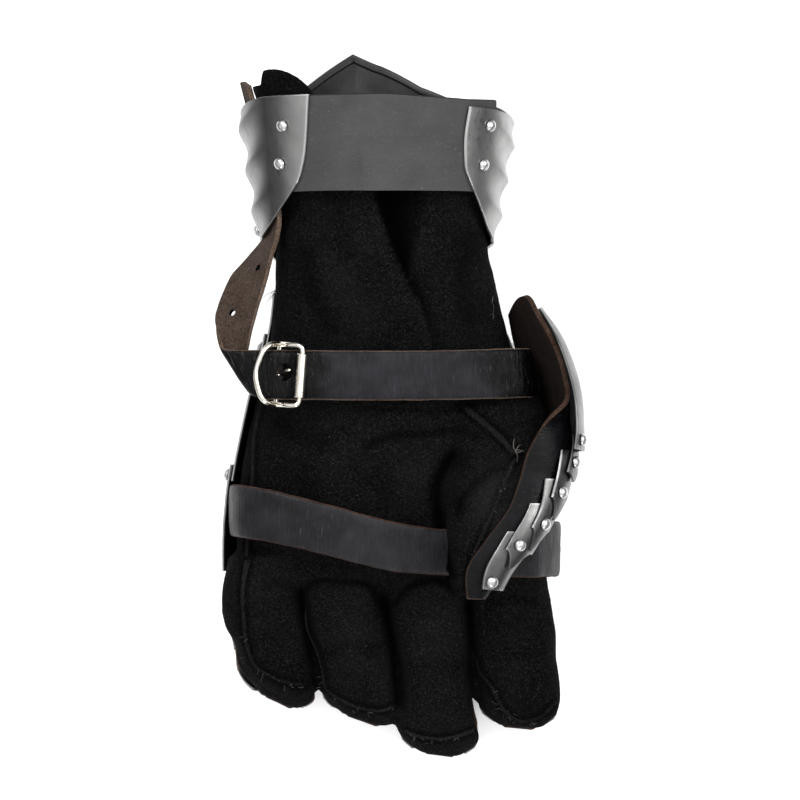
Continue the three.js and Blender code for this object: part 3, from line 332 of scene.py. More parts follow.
def flute(ang, v):
    side = np.abs(ang - KEEL_ANGLE) / 82
    w = np.clip((ang - 180) / 180, 0, 1)
    first = lerp(0.222, 0.172, w) - 0.3 * (1 - side)
    step = lerp(0.3125, 0.28, w)
    t = (v - first) / step
    fade = smooth((ang - 146) / 34) * smooth((394 - ang) / 34) * smooth((np.abs(ang - KEEL_ANGLE) - 2) / 12)
    ends = smooth((1 - v) / 0.06) * smooth((v + 0.02) / 0.1)
    tri = 1 - np.abs(np.sin(math.pi * t))
    return FLUTE * tri * fade * ends


def cuff_surface(u, v):
    yl, yr = lerp(69.3, 130.6, v), lerp(68, 126, v)
    a0 = wing_angle(at(WING_L, "y", yl)["x"], yl, True)
    a1 = wing_angle(at(WING_R, "y", yr)["x"], yr, False)
    ang = np.where(u < 0.5, lerp(a0, KEEL_ANGLE, u * 2), lerp(KEEL_ANGLE, a1, u * 2 - 1))
    y = lerp(at(CUFF_FOOT, "ang", ang)["y"], rim_y(ang), v)
    keel = KEEL * np.exp(-np.abs(ang - KEEL_ANGLE) / 5)
    return cuff_section(y, ang, flute(ang, v) + keel)


def band_surface(u, v):
    x = lerp(BAND["x0"], BAND["x1"], u)
    top = np.where(x < -6, lerp(BAND["y1Left"], BAND["y1Mid"], np.clip((x + 40) / 34, 0, 1)), lerp(BAND["y1Mid"], BAND["y1Right"], np.clip((x + 6) / 36, 0, 1)))
    foot = BAND["y0"] - 1.2 * np.abs(2 * u - 1) ** 5
    y = lerp(foot, top, v)
    s = at(CUFF, "y", y)
    a, b = s["a"] - STEEL - 0.5, s["b"] - STEEL - 0.5
    c = np.minimum(0.999, np.abs(x - s["cx"]) / a)
    return vec(x, y, s["cz"] + b * (1 - c ** SECTION_N) ** (1 / SECTION_N))


def shell_point(y, t, layer):
    s = at(SHELL, "y", y)
    inset = layer * (STEEL + GAP + 0.1)
    a, b = s["a"] - inset, s["b"] - inset

    def end(z, left):
        q = np.degrees(np.arcsin(np.minimum(0.98, np.abs(z - s["cz"]) / b) ** (SHELL_N / 2))) * np.sign(z - s["cz"])
        return 180 - q if left else 360 + q

    a0, a1 = end(s["zl"], True), end(s["zr"], False)
    ang = np.where(t < 0.5, lerp(a0, KEEL_ANGLE + 6, t * 2), lerp(KEEL_ANGLE + 6, a1, t * 2 - 1))
    c, q = np.cos(np.radians(ang)), np.sin(np.radians(ang))
    return vec(s["cx"] + a * sgnpow(c, 2 / SHELL_N), y, s["cz"] + b * sgnpow(q, 2 / SHELL_N))


def plate_surface(r):
    def f(u, v):
        p = shell_point(lerp(r["y0"], r["y1"], v), u, r["layer"])
        if r["name"] == "knuckle_plate":
            for k in KNUCKLES:
                d = np.hypot(p[..., 0] - k["x"], (p[..., 1] - k["y"]) * 0.9) / k["r"]
                p[..., 2] -= k["h"] * smooth(1 - d)
        return p
    return f


def finger_path(name, v):
    t = FINGERS[name]
    y = lerp(FINGER_START, FINGER_TIPS[name], v)
    d = at(t, "y", np.maximum(y, t[-1]["y"]))
    end = np.clip((y - FINGER_TIPS[name]) / 10, 0, 1)
    w0 = np.minimum(d["hw"] + 0.6, lerp(14.2, 16.2, smooth((-78 - y) / 30)))
    return d["cx"], y, w0, w0 * np.sqrt(1 - (1 - end) ** 2 * 0.8), d["tilt"]


def finger_z(cx, y, w0, x):
    s = at(SHELL, "y", np.maximum(y, -70))
    own = FINGER_STRIP_Z + FINGER_RISE * ((x - cx) / w0) ** 2
    inset = STEEL + LAME_T + 1.6
    inner = s["cz"] - (s["b"] - inset) * np.maximum(0.05, 1 - np.abs((x - s["cx"]) / (s["a"] - inset)) ** SHELL_N) ** (1 / SHELL_N)
    return lerp(np.maximum(own, inner), own, smooth((-69 - y) / 24))


def finger_under(name):
    def f(u, v):
        cx, y, w0, w, tilt = finger_path(name, v)
        x = cx + (u * 2 - 1) * w
        return vec(x, y + tilt * (x - cx), finger_z(cx, y, w0, x))
    return f


def arc3(table):
    def f(u, v):
        r = along(table, v)
        A, M, B = vec(r["x1"], r["y1"], r["z1"]), vec(r["xm"], r["ym"], r["zm"]), vec(r["x2"], r["y2"], r["z2"])
        u = np.asarray(u)[..., None]
        return A * (u - 0.5) * (u - 1) * 2 + M * 4 * u * (1 - u) + B * 2 * u * (u - 0.5)
    return f


def ribbon(table):
    def f(u, v):
        r = along(table, v)
        return vec(lerp(r["xa"], r["xb"], u), lerp(r["ya"], r["yb"], u), lerp(r["za"], r["zb"], u))
    return f


def normal_at(f, u, v, e=1e-3):
    du = f(np.clip(u + e, 0, 1), v) - f(np.clip(u - e, 0, 1), v)
    dv = f(u, np.clip(v + e, 0, 1)) - f(u, np.clip(v - e, 0, 1))
    return unit(np.cross(du, dv))


def find(f, x, y):
    """(point, normal, u, v) where the surface f has the given x and y."""
    uu, vv = np.meshgrid(np.linspace(0, 1, 241), np.linspace(0, 1, 241))
    p = f(uu, vv)
    d = np.hypot(p[..., 0] - x, p[..., 1] - y) - 0.02 * p[..., 2]
    k = np.unravel_index(np.argmin(d), d.shape)
    u, v = float(uu[k]), float(vv[k])
    return f(u, v), normal_at(f, u, v), u, v


# ---------------------------------------------------------------- meshes
made = {}


def to_object(name, verts, faces, mats, face_mat=None, uvs=None, sharp=None):
    """verts (n, 3) in mm, in the part's frame before SHIFT."""
    me = bpy.data.meshes.new(name)
    co = (np.asarray(verts, float) + SHIFT) * MM
    me.from_pydata(co.tolist(), [], [list(map(int, f)) for f in faces])
    for m in mats:
        me.materials.append(m)
    if face_mat is not None:
        me.polygons.foreach_set("material_index", np.asarray(face_mat, np.int32))
    if uvs is not None:
        layer = me.uv_layers.new(name="sheet")
        idx = np.empty(len(me.loops), np.int32)
        me.loops.foreach_get("vertex_index", idx)
        layer.data.foreach_set("uv", np.asarray(uvs, np.float32)[idx].ravel())
    me.polygons.foreach_set("use_smooth", np.ones(len(me.polygons), bool))
    me.validate()
    me.update()
    if sharp:
        me.set_sharp_from_angle(angle=math.radians(sharp))
    o = bpy.data.objects.new(name, me)
    bpy.context.scene.collection.objects.link(o)
    return o


def outward(o):
    bm = bmesh.new()
    bm.from_mesh(o.data)
    bmesh.ops.recalc_face_normals(bm, faces=bm.faces)
    if bm.calc_volume(signed=True) < 0:
        bmesh.ops.reverse_faces(bm, faces=bm.faces)
    bm.to_mesh(o.data)
    bm.free()


def slab(name, P, N, t, mats, edge=0.45, uv=None, sharp=50):
    """A sheet: P (nv, nu, 3) is its outer face, N the unit normals out of that face, t its thickness.
    mats = (outer, inner, edge). The long edges are rounded."""
    nv, nu = P.shape[:2]
    t = np.broadcast_to(np.asarray(t, float), (nv, nu))[..., None]
    Q = P - N * t
    T0 = unit(P[:, 0] - P[:, 1])
    T1 = unit(P[:, -1] - P[:, -2])
    edge = min(edge, float(t.min()) * 0.5)
    ks = [0.12, 0.5, 0.88]
    e0 = [P[:, 0] - (P[:, 0] - Q[:, 0]) * k + T0 * edge * math.sin(math.pi * k) for k in ks]
    e1 = [P[:, -1] - (P[:, -1] - Q[:, -1]) * k + T1 * edge * math.sin(math.pi * k) for k in ks]
    loop = [P[:, i] for i in range(nu)] + e1 + [Q[:, i] for i in range(nu - 1, -1, -1)] + e0[::-1]
    n = len(loop)
    L = np.stack(loop, 1)  # nv, n, 3
    verts = L.reshape(-1, 3)
    kind = [0] * (nu - 1) + [2] * 4 + [1] * (nu - 1) + [2] * 4
    faces, fm = [], []
    for j in range(nv - 1):
        for i in range(n):
            a, b = j * n + i, j * n + (i + 1) % n
            faces.append((a, b, b + n, a + n))
            fm.append(kind[i])
    for j in (0, nv - 1):  # ends
        o = j * n
        for i in range(nu - 1):
            q = (o + i, o + i + 1, o + nu + 3 + (nu - 1) - (i + 1), o + nu + 3 + (nu - 1) - i)
            faces.append(q if j else q[::-1])
            fm.append(2)
        e1i = [o + nu - 1, o + nu, o + nu + 1, o + nu + 2, o + nu + 3]
        e0i = [o + 2 * nu + 3 - 1, o + 2 * nu + 3, o + 2 * nu + 4, o + 2 * nu + 5, o]
        faces.append(tuple(e1i) if j else tuple(e1i[::-1]))
        faces.append(tuple(e0i) if j else tuple(e0i[::-1]))
        fm += [2, 2]
    if uv is None:
        s = np.concatenate([[0], np.cumsum(np.linalg.norm(np.diff(P[:, nu // 2], axis=0), axis=1))])
        w = np.concatenate([[0], np.cumsum(np.linalg.norm(np.diff(P[nv // 2], axis=0), axis=1))])
        uu = np.concatenate([w, [w[-1] + 0.4, w[-1] + 1, w[-1] + 1.6], w[::-1] + 2, [-0.4, -1, -1.6]])
        uv = np.stack(np.broadcast_arrays(uu[None, :], s[:, None]), -1).reshape(-1, 2) * MM
    o = to_object(name, verts, faces, list(mats), fm, uv)
    outward(o)
    if sharp:
        o.data.set_sharp_from_angle(angle=math.radians(sharp))
    return o


def grid(f, nu, nv, us=None, vs=None):
    u = np.linspace(0, 1, nu) if us is None else np.asarray(us)
    v = np.linspace(0, 1, nv) if vs is None else np.asarray(vs)
    U, W = np.meshgrid(u, v)
    return f(U, W), U, W


def grid_normals(P, away_from=None):
    du = np.gradient(P, axis=1)
    dv = np.gradient(P, axis=0)
    n = unit(np.cross(du, dv))
    if away_from is not None:
        k = (P.shape[0] // 2, P.shape[1] // 2)
        if np.dot(n[k], P[k] - np.asarray(away_from)) < 0:
            n = -n
    return n


def sweep(points, radius, sides=14, closed=False, section=None):
    """(verts, faces) of a round wire along points (n, 3)."""
    p = np.asarray(points, float)
    n = len(p)
    if closed:
        t = unit(np.roll(p, -1, 0) - np.roll(p, 1, 0))
    else:
        t = unit(np.gradient(p, axis=0))
    ref = np.array([0.0, 0.0, 1.0]) if abs(t[0, 2]) < 0.9 else np.array([1.0, 0.0, 0.0])
    a = unit(np.cross(ref, t[0]))
    A = [a]
    for i in range(1, n):
        a = unit(A[-1] - t[i] * np.dot(A[-1], t[i]))
        A.append(a)
    A = np.array(A)
    B = np.cross(t, A)
    if closed:  # take the leftover twist out evenly
        a_end = unit(A[-1] - t[0] * np.dot(A[-1], t[0]))
        ang = math.atan2(np.dot(a_end, B[0]), np.dot(a_end, A[0]))
        k = -ang * np.arange(n) / n
        A, B = A * np.cos(k)[:, None] + B * np.sin(k)[:, None], B * np.cos(k)[:, None] - A * np.sin(k)[:, None]
    th = np.linspace(0, 2 * math.pi, sides, endpoint=False)
    r = np.broadcast_to(np.asarray(radius, float), (n,))
    sx, sy = (np.cos(th), np.sin(th)) if section is None else section(th)
    V = p[:, None] + r[:, None, None] * (A[:, None] * sx[None, :, None] + B[:, None] * sy[None, :, None])
    verts = V.reshape(-1, 3).tolist()
    faces = []
    for j in range(n if closed else n - 1):
        for i in range(sides):
            a0, b0 = j * sides + i, j * sides + (i + 1) % sides
            c0, d0 = ((j + 1) % n) * sides + (i + 1) % sides, ((j + 1) % n) * sides + i
            faces.append((a0, b0, c0, d0))
    if not closed:
        faces.append(tuple(range(sides))[::-1])
        faces.append(tuple((n - 1) * sides + i for i in range(sides)))
    return np.array(verts), faces


def spline(points, n, closed=False):
    """Centripetal-like smooth curve through points."""
    p = np.asarray(points, float)
    if closed:
        p = np.vstack([p[-2:], p, p[:3]])
    seg = np.linalg.norm(np.diff(p, axis=0), axis=1) ** 0.5
    k = np.concatenate([[0], np.cumsum(seg)])
    m = np.empty_like(p)
    m[1:-1] = (p[2:] - p[:-2]) / (k[2:] - k[:-2])[:, None]
    m[0], m[-1] = (p[1] - p[0]) / seg[0], (p[-1] - p[-2]) / seg[-1]
    lo, hi = (k[2], k[-3]) if closed else (k[0], k[-1])
    # even steps along the curve
    fine = np.linspace(lo, hi, n * 12 + 1)

    def ev(x):
        i = np.clip(np.searchsorted(k, x, side="right") - 1, 0, len(k) - 2)
        h = (k[i + 1] - k[i])[:, None]
        s = ((x - k[i])[:, None]) / h
        return p[i] * (2 * s**3 - 3 * s**2 + 1) + m[i] * h * (s**3 - 2 * s**2 + s) + p[i + 1] * (3 * s**2 - 2 * s**3) + m[i + 1] * h * (s**3 - s**2)

    q = ev(fine)
    d = np.concatenate([[0], np.cumsum(np.linalg.norm(np.diff(q, axis=0), axis=1))])
    want = np.linspace(0, d[-1], n, endpoint=not closed)
    return ev(np.interp(want, d, fine))


def merge(parts):
    verts, faces, n = [], [], 0
    for v, f in parts:
        verts.append(np.asarray(v, float))
        faces += [tuple(int(i) + n for i in q) for q in f]
        n += len(v)
    return np.concatenate(verts), faces


def turned(profile, p, n, sides=28):
    """A body of revolution: profile [(radius, height)], at p along n."""
    n = unit(np.asarray(n, float))
    a = unit(np.cross(n, [0, 0, 1.0] if abs(n[2]) < 0.9 else [1.0, 0, 0]))
    b = np.cross(n, a)
    th = np.linspace(0, 2 * math.pi, sides, endpoint=False)
    verts, faces, ringi = [], [], []
    for r, h in profile:
        if r < 1e-6:
            ringi.append([len(verts)])
            verts.append(p + n * h)
        else:
            ringi.append(list(range(len(verts), len(verts) + sides)))
            for t in th:
                verts.append(p + n * h + (a * math.cos(t) + b * math.sin(t)) * r)
    for r0, r1 in zip(ringi, ringi[1:]):
        for i in range(sides):
            j = (i + 1) % sides
            if len(r0) == 1:
                faces.append((r0[0], r1[i], r1[j]))
            elif len(r1) == 1:
                faces.append((r0[i], r1[0], r0[j]))
            else:
                faces.append((r0[i], r1[i], r1[j], r0[j]))
    return np.array(verts), faces


def cut(o, cutters):
    """Subtracts closed meshes [(verts, faces)] (mm, before SHIFT) from o."""
    v, f = merge(cutters)
    c = to_object("cutter", v, f, [])
    outward(c)
    m = o.modifiers.new("holes", "BOOLEAN")
    m.operation, m.solver, m.object = "DIFFERENCE", "EXACT", c
    if hasattr(m, "material_mode"):
        m.material_mode = "INDEX"
    bake(o)
    bpy.data.objects.remove(c)


def bake(o):
    """Applies o's modifiers."""
    dg = bpy.context.evaluated_depsgraph_get()
    dg.update()
    me = bpy.data.meshes.new_from_object(o.evaluated_get(dg), preserve_all_data_layers=True, depsgraph=dg)
    old = o.data
    o.modifiers.clear()
    o.data = me
    me.name = o.name
    bpy.data.meshes.remove(old)


def stands_for(o, slot, *nodes):
    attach(o, "root")
    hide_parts(*nodes)
    made[o.name] = o
    return o


# ---------------------------------------------------------------- materials


class Nodes:
    """A short way to write shader nodes."""

    def __init__(self, name):
        self.m = bpy.data.materials.new(name)
        self.m.use_nodes = True
        self.t = self.m.node_tree
        self.b = self.t.nodes["Principled BSDF"]

    def n(self, kind, **inputs):
        node = self.t.nodes.new("ShaderNode" + kind)
        for k, v in inputs.items():
            if hasattr(node, k) and not k[0].isupper():
                setattr(node, k, v)
            else:
                self.put(node.inputs[k.replace("_", " ")], v)
        return node

    def put(self, socket, v):
        if isinstance(v, bpy.types.NodeSocket):
            self.t.links.new(v, socket)
        else:
            socket.default_value = v

    def coord(self, kind="Object"):
        return self.n("TexCoord").outputs[kind]

    def scaled(self, co, sx, sy, sz, rot=(0, 0, 0), loc=(0, 0, 0)):
        node = self.n("Mapping")
        self.put(node.inputs["Vector"], co)
        node.inputs["Scale"].default_value = (sx, sy, sz)
        node.inputs["Rotation"].default_value = rot
        node.inputs["Location"].default_value = loc
        return node.outputs["Vector"]

    def noise(self, co, scale, detail=3.0, rough=0.55, distort=0.0):
        node = self.n("TexNoise")
        self.put(node.inputs["Vector"], co)
        node.inputs["Scale"].default_value = scale
        node.inputs["Detail"].default_value = detail
        node.inputs["Roughness"].default_value = rough
        node.inputs["Distortion"].default_value = distort
        return node.outputs["Fac"]

    def voronoi(self, co, scale, feature="F1", out="Distance", rand=1.0):
        node = self.n("TexVoronoi")
        node.feature = feature
        self.put(node.inputs["Vector"], co)
        node.inputs["Scale"].default_value = scale
        node.inputs["Randomness"].default_value = rand
        return node.outputs[out]

    def ramp(self, fac, stops, interp="LINEAR"):
        node = self.n("ValToRGB")
        self.put(node.inputs["Fac"], fac)
        r = node.color_ramp
        r.interpolation = interp
        while len(r.elements) < len(stops):
            r.elements.new(0.5)
        for e, (p, c) in zip(r.elements, stops):
            e.position = p
            e.color = (c, c, c, 1) if isinstance(c, (int, float)) else (*c[:3], 1)
        return node.outputs["Color"]

    def remap(self, v, a, b, c, d, clamp=True):
        node = self.n("MapRange")
        node.clamp = clamp
        self.put(node.inputs["Value"], v)
        for k, x in zip(("From Min", "From Max", "To Min", "To Max"), (a, b, c, d)):
            node.inputs[k].default_value = x
        return node.outputs["Result"]

    def math(self, op, a, b=0.0, clamp=False):
        node = self.n("Math")
        node.operation = op
        node.use_clamp = clamp
        self.put(node.inputs[0], a)
        self.put(node.inputs[1], b)
        return node.outputs[0]

    def mix(self, fac, a, b, kind="MIX"):
        node = self.n("Mix")
        node.data_type = "RGBA"
        node.blend_type = kind
        self.put(node.inputs["Factor"], fac)
        for s, v in ((6, a), (7, b)):
            self.put(node.inputs[s], v if isinstance(v, bpy.types.NodeSocket) else (*v[:3], 1))
        return node.outputs[2]

    def bump(self, height, strength, distance, normal=None):
        node = self.n("Bump")
        node.inputs["Strength"].default_value = strength
        node.inputs["Distance"].default_value = distance
        self.put(node.inputs["Height"], height)
        if normal is not None:
            self.put(node.inputs["Normal"], normal)
        return node.outputs["Normal"]

    def worn(self, low=0.52, high=0.62):
        """Edge wear from pointiness."""
        g = self.n("NewGeometry").outputs["Pointiness"]
        return self.remap(g, low, high, 0, 1)

    def finish(self, **sockets):
        for k, v in sockets.items():
            self.put(self.b.inputs[k.replace("_", " ")], v)
        return self.m


def steel(name, base, rough, grain=1.0, dark=0.55):
    s = Nodes(name)
    co = s.coord()
    cloud = s.noise(co, 38, 4, 0.6)
    fine = s.noise(s.scaled(co, 1500, 240, 700), 1.0, 2, 0.6)
    spots = s.voronoi(co, 420, out="Distance")
    pit = s.remap(spots, 0.0, 0.16, 0.0, 1.0)
    tone = s.mix(s.remap(cloud, 0.3, 0.7, 0, 1), [c * dark for c in base], base)
    tone = s.mix(s.math("MULTIPLY", s.math("SUBTRACT", 1.0, pit), 0.25), tone, [c * 0.35 for c in base])
    tone = s.mix(s.math("MULTIPLY", s.worn(0.5, 0.56), 0.55), tone, [min(1, c * 1.6 + 0.08) for c in base])
    # painted shade and plain darkening, read from the vertices: near black on the cuff's flanks and in the thumb lames'
    # steps, darker all over on the thumb plate and lames
    darkening_and_painted_shade = s.n("Attribute")
    darkening_and_painted_shade.attribute_name = "painted_shading_and_darkening"
    tone = s.mix(s.remap(darkening_and_painted_shade.outputs["Fac"], 0.0, 1.0, 0, 0.95), tone, (0.012, 0.012, 0.012))
    r = s.math("ADD", s.remap(cloud, 0.3, 0.7, rough + 0.07, rough - 0.06), s.remap(fine, 0.3, 0.7, -0.05, 0.05))
    n1 = s.bump(fine, 0.10 * grain, 0.0002)
    n2 = s.bump(s.noise(co, 160, 3), 0.12 * grain, 0.0006, n1)
    return s.finish(Base_Color=tone, Roughness=r, Metallic=1.0, Normal=n2)


def hammered(name, base, rough):
    s = Nodes(name)
    co = s.coord()
    v = s.voronoi(co, 760, "SMOOTH_F1")
    cloud = s.noise(co, 900, 3, 0.6)
    tone = s.mix(s.remap(cloud, 0.35, 0.7, 0, 1), [c * 0.6 for c in base], base)
    n1 = s.bump(v, 0.22, 0.0004)
    n2 = s.bump(s.noise(co, 1900, 2), 0.08, 0.0003, n1)
    return s.finish(Base_Color=tone, Roughness=s.remap(cloud, 0.3, 0.7, rough + 0.1, rough - 0.05), Metallic=1.0, Normal=n2)


def nickel(name):
    s = Nodes(name)
    co = s.coord()
    cloud = s.noise(co, 160, 4, 0.6)
    scratch = s.noise(s.scaled(co, 300, 3200, 300), 1.0, 2, 0.5)
    tone = s.mix(s.remap(cloud, 0.4, 0.7, 0, 1), (0.80, 0.765, 0.70), (0.60, 0.55, 0.47))
    tone = s.mix(s.remap(s.noise(co, 900, 3), 0.62, 0.75, 0, 0.6), tone, (0.12, 0.10, 0.08))
    r = s.math("ADD", s.remap(cloud, 0.3, 0.7, 0.13, 0.24), s.remap(scratch, 0.4, 0.7, 0.0, 0.08))
    return s.finish(Base_Color=tone, Roughness=r, Metallic=1.0, Normal=s.bump(scratch, 0.06, 0.0002))


def suede(name, base=(0.0014, 0.0014, 0.0014), light=(0.0041, 0.0040, 0.0041), pale=1.0):
    s = Nodes(name)
    co = s.coord()
    warp = s.noise(co, 60, 3, 0.6)
    nap_and_painted_shading = s.noise(co, 26, 5, 0.62, 0.8)  # brushed patches
    grit = s.noise(co, 1050, 3, 0.75)
    mid = s.noise(co, 330, 4, 0.7)
    weave = s.noise(s.scaled(co, 2300, 900, 1500, (0.4, 0.3, 0.75)), 1.0, 2, 0.4, 0.8)
    weave2 = s.noise(s.scaled(co, 900, 2300, 1500, (0.2, 0.5, 0.75)), 1.0, 2, 0.4, 0.8)
    tone = s.mix(s.remap(nap_and_painted_shading, 0.34, 0.68, 0, 1), base, light)
    tone = s.mix(s.remap(grit, 0.52, 0.74, 0, 0.7), tone, (0.0160, 0.0157, 0.0155))
    tone = s.mix(s.remap(grit, 0.47, 0.32, 0, 0.85), tone, (0.0004, 0.0004, 0.0004))
    tone = s.mix(s.remap(s.math("MAXIMUM", weave, weave2), 0.62, 0.76, 0, 0.5 * pale), tone, (0.030, 0.029, 0.0285))
    tone = s.mix(s.remap(s.noise(co, 1700, 2, 0.6), 0.70, 0.78, 0, 0.7 * pale), tone, (0.110, 0.106, 0.102))
    # painted shade towards near black in creases, folds and beside seams, and painted light where the value is below 0
    fold_painted_shading = s.n("Attribute")
    fold_painted_shading.attribute_name = "painted_shading_and_darkening"
    tone = s.mix(s.remap(fold_painted_shading.outputs["Fac"], 0.0, 0.85, 0, 0.97), tone, (0.0002, 0.0002, 0.0002))
    tone = s.mix(s.remap(fold_painted_shading.outputs["Fac"], 0.0, -1.0, 0, 0.5), tone, (0.017, 0.0165, 0.016))
    h = s.math("ADD", s.math("MULTIPLY", grit, 0.6), s.math("MULTIPLY", mid, 0.8))
    n1 = s.bump(h, 0.8, 0.0011)
    n2 = s.bump(s.math("ADD", warp, nap_and_painted_shading), 0.35, 0.003, n1)
    m = s.finish(Base_Color=tone, Roughness=s.remap(mid, 0.3, 0.7, 0.86, 1.0), Normal=n2)
    s.b.inputs["Specular IOR Level"].default_value = 0.02
    s.b.inputs["Sheen Weight"].default_value = 0.004
    s.b.inputs["Sheen Roughness"].default_value = 0.45
    s.b.inputs["Sheen Tint"].default_value = (0.7, 0.7, 0.72, 1)
    return m


def grain_leather(name, base, lift, rough, creases=1.0, bumps=1.0, glossy=0.0, spec=0.25, zones=None):
    """Dyed grain side; uv is in metres, x across the strap and y along it. glossy: share of smoother patches whose
    colour is painted near black as a painted dark reflection, with painted highlights on the crease ridges.
    """
    s = Nodes(name)
    uv = s.coord("UV")
    co = s.coord()
    fine = s.voronoi(co, 1500, "SMOOTH_F1")
    pores = s.noise(co, 1250, 3, 0.65)
    cross = s.noise(s.scaled(uv, 160, 1400, 1), 1.0, 4, 0.65, 0.7)  # fine creases across the strap
    cross2 = s.noise(s.scaled(uv, 60, 420, 1), 1.0, 3, 0.6, 1.4)
    patch = s.noise(co, 70, 4, 0.6, 0.5)
    worn = s.noise(co, 34, 3, 0.5, 0.4)
    tone = s.mix(s.remap(patch, 0.34, 0.68, 0, 1), base, lift)
    if creases > 0.3:
        tone = s.mix(s.remap(cross, 0.56, 0.78, 0, 0.45), tone, [c * 2.2 + 0.006 for c in lift])
        tone = s.mix(s.remap(cross, 0.42, 0.28, 0, 0.7), tone, [c * 0.3 for c in base])
    tone = s.mix(s.math("MULTIPLY", s.worn(0.53, 0.60), 0.45), tone, (0.10, 0.07, 0.055))
    r = s.math("ADD", s.remap(patch, 0.3, 0.7, rough + 0.10, rough - 0.06), s.remap(pores, 0.3, 0.7, -0.06, 0.06))
    if glossy:
        gloss_and_painted_reflection = s.remap(worn, 0.48, 0.60, 0, glossy)
        # zones of painted dark reflection: the strap is painted near black along these stretches
        if zones:  # metres along the strap: black from the first to the second, fading over the third
            xyz = s.n("SeparateXYZ")
            s.put(xyz.inputs[0], uv)
            along_v = s.math("ADD", xyz.outputs["Y"], s.remap(worn, 0.3, 0.7, -0.008, 0.008))
            gloss_and_painted_reflection = s.math("MULTIPLY", gloss_and_painted_reflection, 0.25)
            for lo, hi, fade in zones:
                z = s.math("MULTIPLY", s.remap(along_v, lo - fade, lo, 0, 1), s.remap(along_v, hi, hi + fade, 1, 0))
                gloss_and_painted_reflection = s.math("MAXIMUM", gloss_and_painted_reflection, s.math("MULTIPLY", z, glossy))
        # painted dark reflection: near black, with painted highlights on the crease ridges
        painted_reflection_tone = s.mix(s.remap(cross, 0.60, 0.74, 0, 0.8), (0.0006, 0.0006, 0.0008), (0.060, 0.058, 0.068))
        tone = s.mix(gloss_and_painted_reflection, tone, painted_reflection_tone)
        r = s.math("SUBTRACT", r, s.math("MULTIPLY", gloss_and_painted_reflection, 0.2))
    n1 = s.bump(s.math("ADD", fine, pores), 0.22 * bumps, 0.0003)
    n2 = s.bump(cross, 0.34 * creases, 0.0008, n1)
    n3 = s.bump(cross2, 0.38 * creases, 0.0018, n2)
    m = s.finish(Base_Color=tone, Roughness=r, Normal=n3)
    s.b.inputs["Specular IOR Level"].default_value = spec
    return m


def band_leather(name):
    """Thick matt hide with faint scuffs; its cut edge takes a darker material of its own."""
    s = Nodes(name)
    co = s.coord()
    fibre = s.noise(s.scaled(co, 260, 900, 400, (0, 0, 0.35)), 1.0, 4, 0.6, 1.6)
    fine = s.noise(co, 1300, 4, 0.7)
    patch = s.noise(co, 48, 4, 0.6, 0.6)
    tone = s.mix(s.remap(patch, 0.3, 0.7, 0, 1), (0.034, 0.034, 0.035), (0.050, 0.050, 0.051))
    tone = s.mix(s.remap(fibre, 0.55, 0.75, 0, 0.45), tone, (0.085, 0.084, 0.083))
    tone = s.mix(s.remap(fine, 0.44, 0.30, 0, 0.65), tone, (0.022, 0.022, 0.023))
    tone = s.mix(s.remap(s.noise(co, 420, 4, 0.75), 0.66, 0.74, 0, 0.6), tone, (0.17, 0.168, 0.165))
    n1 = s.bump(s.math("ADD", fine, fibre), 0.35, 0.0005)
    n2 = s.bump(patch, 0.3, 0.0015, n1)
    m = s.finish(Base_Color=tone, Roughness=s.remap(fine, 0.3, 0.7, 0.66, 0.86), Normal=n2)
    s.b.inputs["Specular IOR Level"].default_value = 0.25
    return m


def thread(name):
    s = Nodes(name)
    co = s.coord()
    k = s.noise(co, 210, 3, 0.6)
    tone = s.mix(s.remap(k, 0.4, 0.62, 0, 1), (0.012, 0.010, 0.009), (0.085, 0.076, 0.068))
    return s.finish(Base_Color=tone, Roughness=s.remap(k, 0.3, 0.7, 0.7, 0.9))


def flesh_leather(name, base, light, dark):
    s = Nodes(name)
    co = s.coord()
    patch = s.noise(co, 110, 4, 0.65, 0.6)
    speck = s.noise(co, 1150, 3, 0.7)
    fib = s.noise(s.scaled(co, 900, 2300, 900, (0, 0, 0.5)), 1.0, 3, 0.5, 1.0)
    tone = s.mix(s.remap(patch, 0.34, 0.7, 0, 1), base, light)
    tone = s.mix(s.remap(speck, 0.5, 0.36, 0, 0.85), tone, dark)
    tone = s.mix(s.remap(fib, 0.58, 0.74, 0, 0.6), tone, [min(1, c * 2.0 + 0.004) for c in light])
    n1 = s.bump(s.math("ADD", speck, fib), 0.6, 0.0006)
    n2 = s.bump(patch, 0.3, 0.0015, n1)
    m = s.finish(Base_Color=tone, Roughness=s.remap(speck, 0.3, 0.7, 0.82, 0.97), Normal=n2)
    s.b.inputs["Specular IOR Level"].default_value = 0.05
    s.b.inputs["Sheen Weight"].default_value = 0.01
    return m


STEEL_M = steel("steel_plate", (0.40, 0.40, 0.396), 0.33, dark=0.72)
DARK_STEEL_M = steel("steel_inside", (0.050, 0.050, 0.050), 0.55)
LAME_M = steel("steel_lame", (0.19, 0.19, 0.188), 0.34)
RIVET_M = hammered("rivet_heads", (0.66, 0.66, 0.67), 0.30)
NICKEL_M = nickel("nickel_plate")
SUEDE_M = suede("black_suede")
SEAM_M = suede("suede_seam", (0.0030, 0.0029, 0.0030), (0.0100, 0.0097, 0.0095), 1.4)
LINING_M = suede("suede_inside", (0.0012, 0.0012, 0.0012), (0.0035, 0.0035, 0.0035), 0.5)
STRAP_M = grain_leather("strap_grain", (0.0085, 0.0080, 0.0098), (0.0180, 0.0172, 0.0205), 0.38, creases=1.15, glossy=0.97, spec=0.09, zones=((-0.01, 0.036, 0.012), (0.112, 0.175, 0.010)))
PALM_STRAP_M = grain_leather("palm_strap_grain", (0.0060, 0.0059, 0.0072), (0.0160, 0.0160, 0.0190), 0.45, creases=0.45, glossy=0.55, spec=0.16)
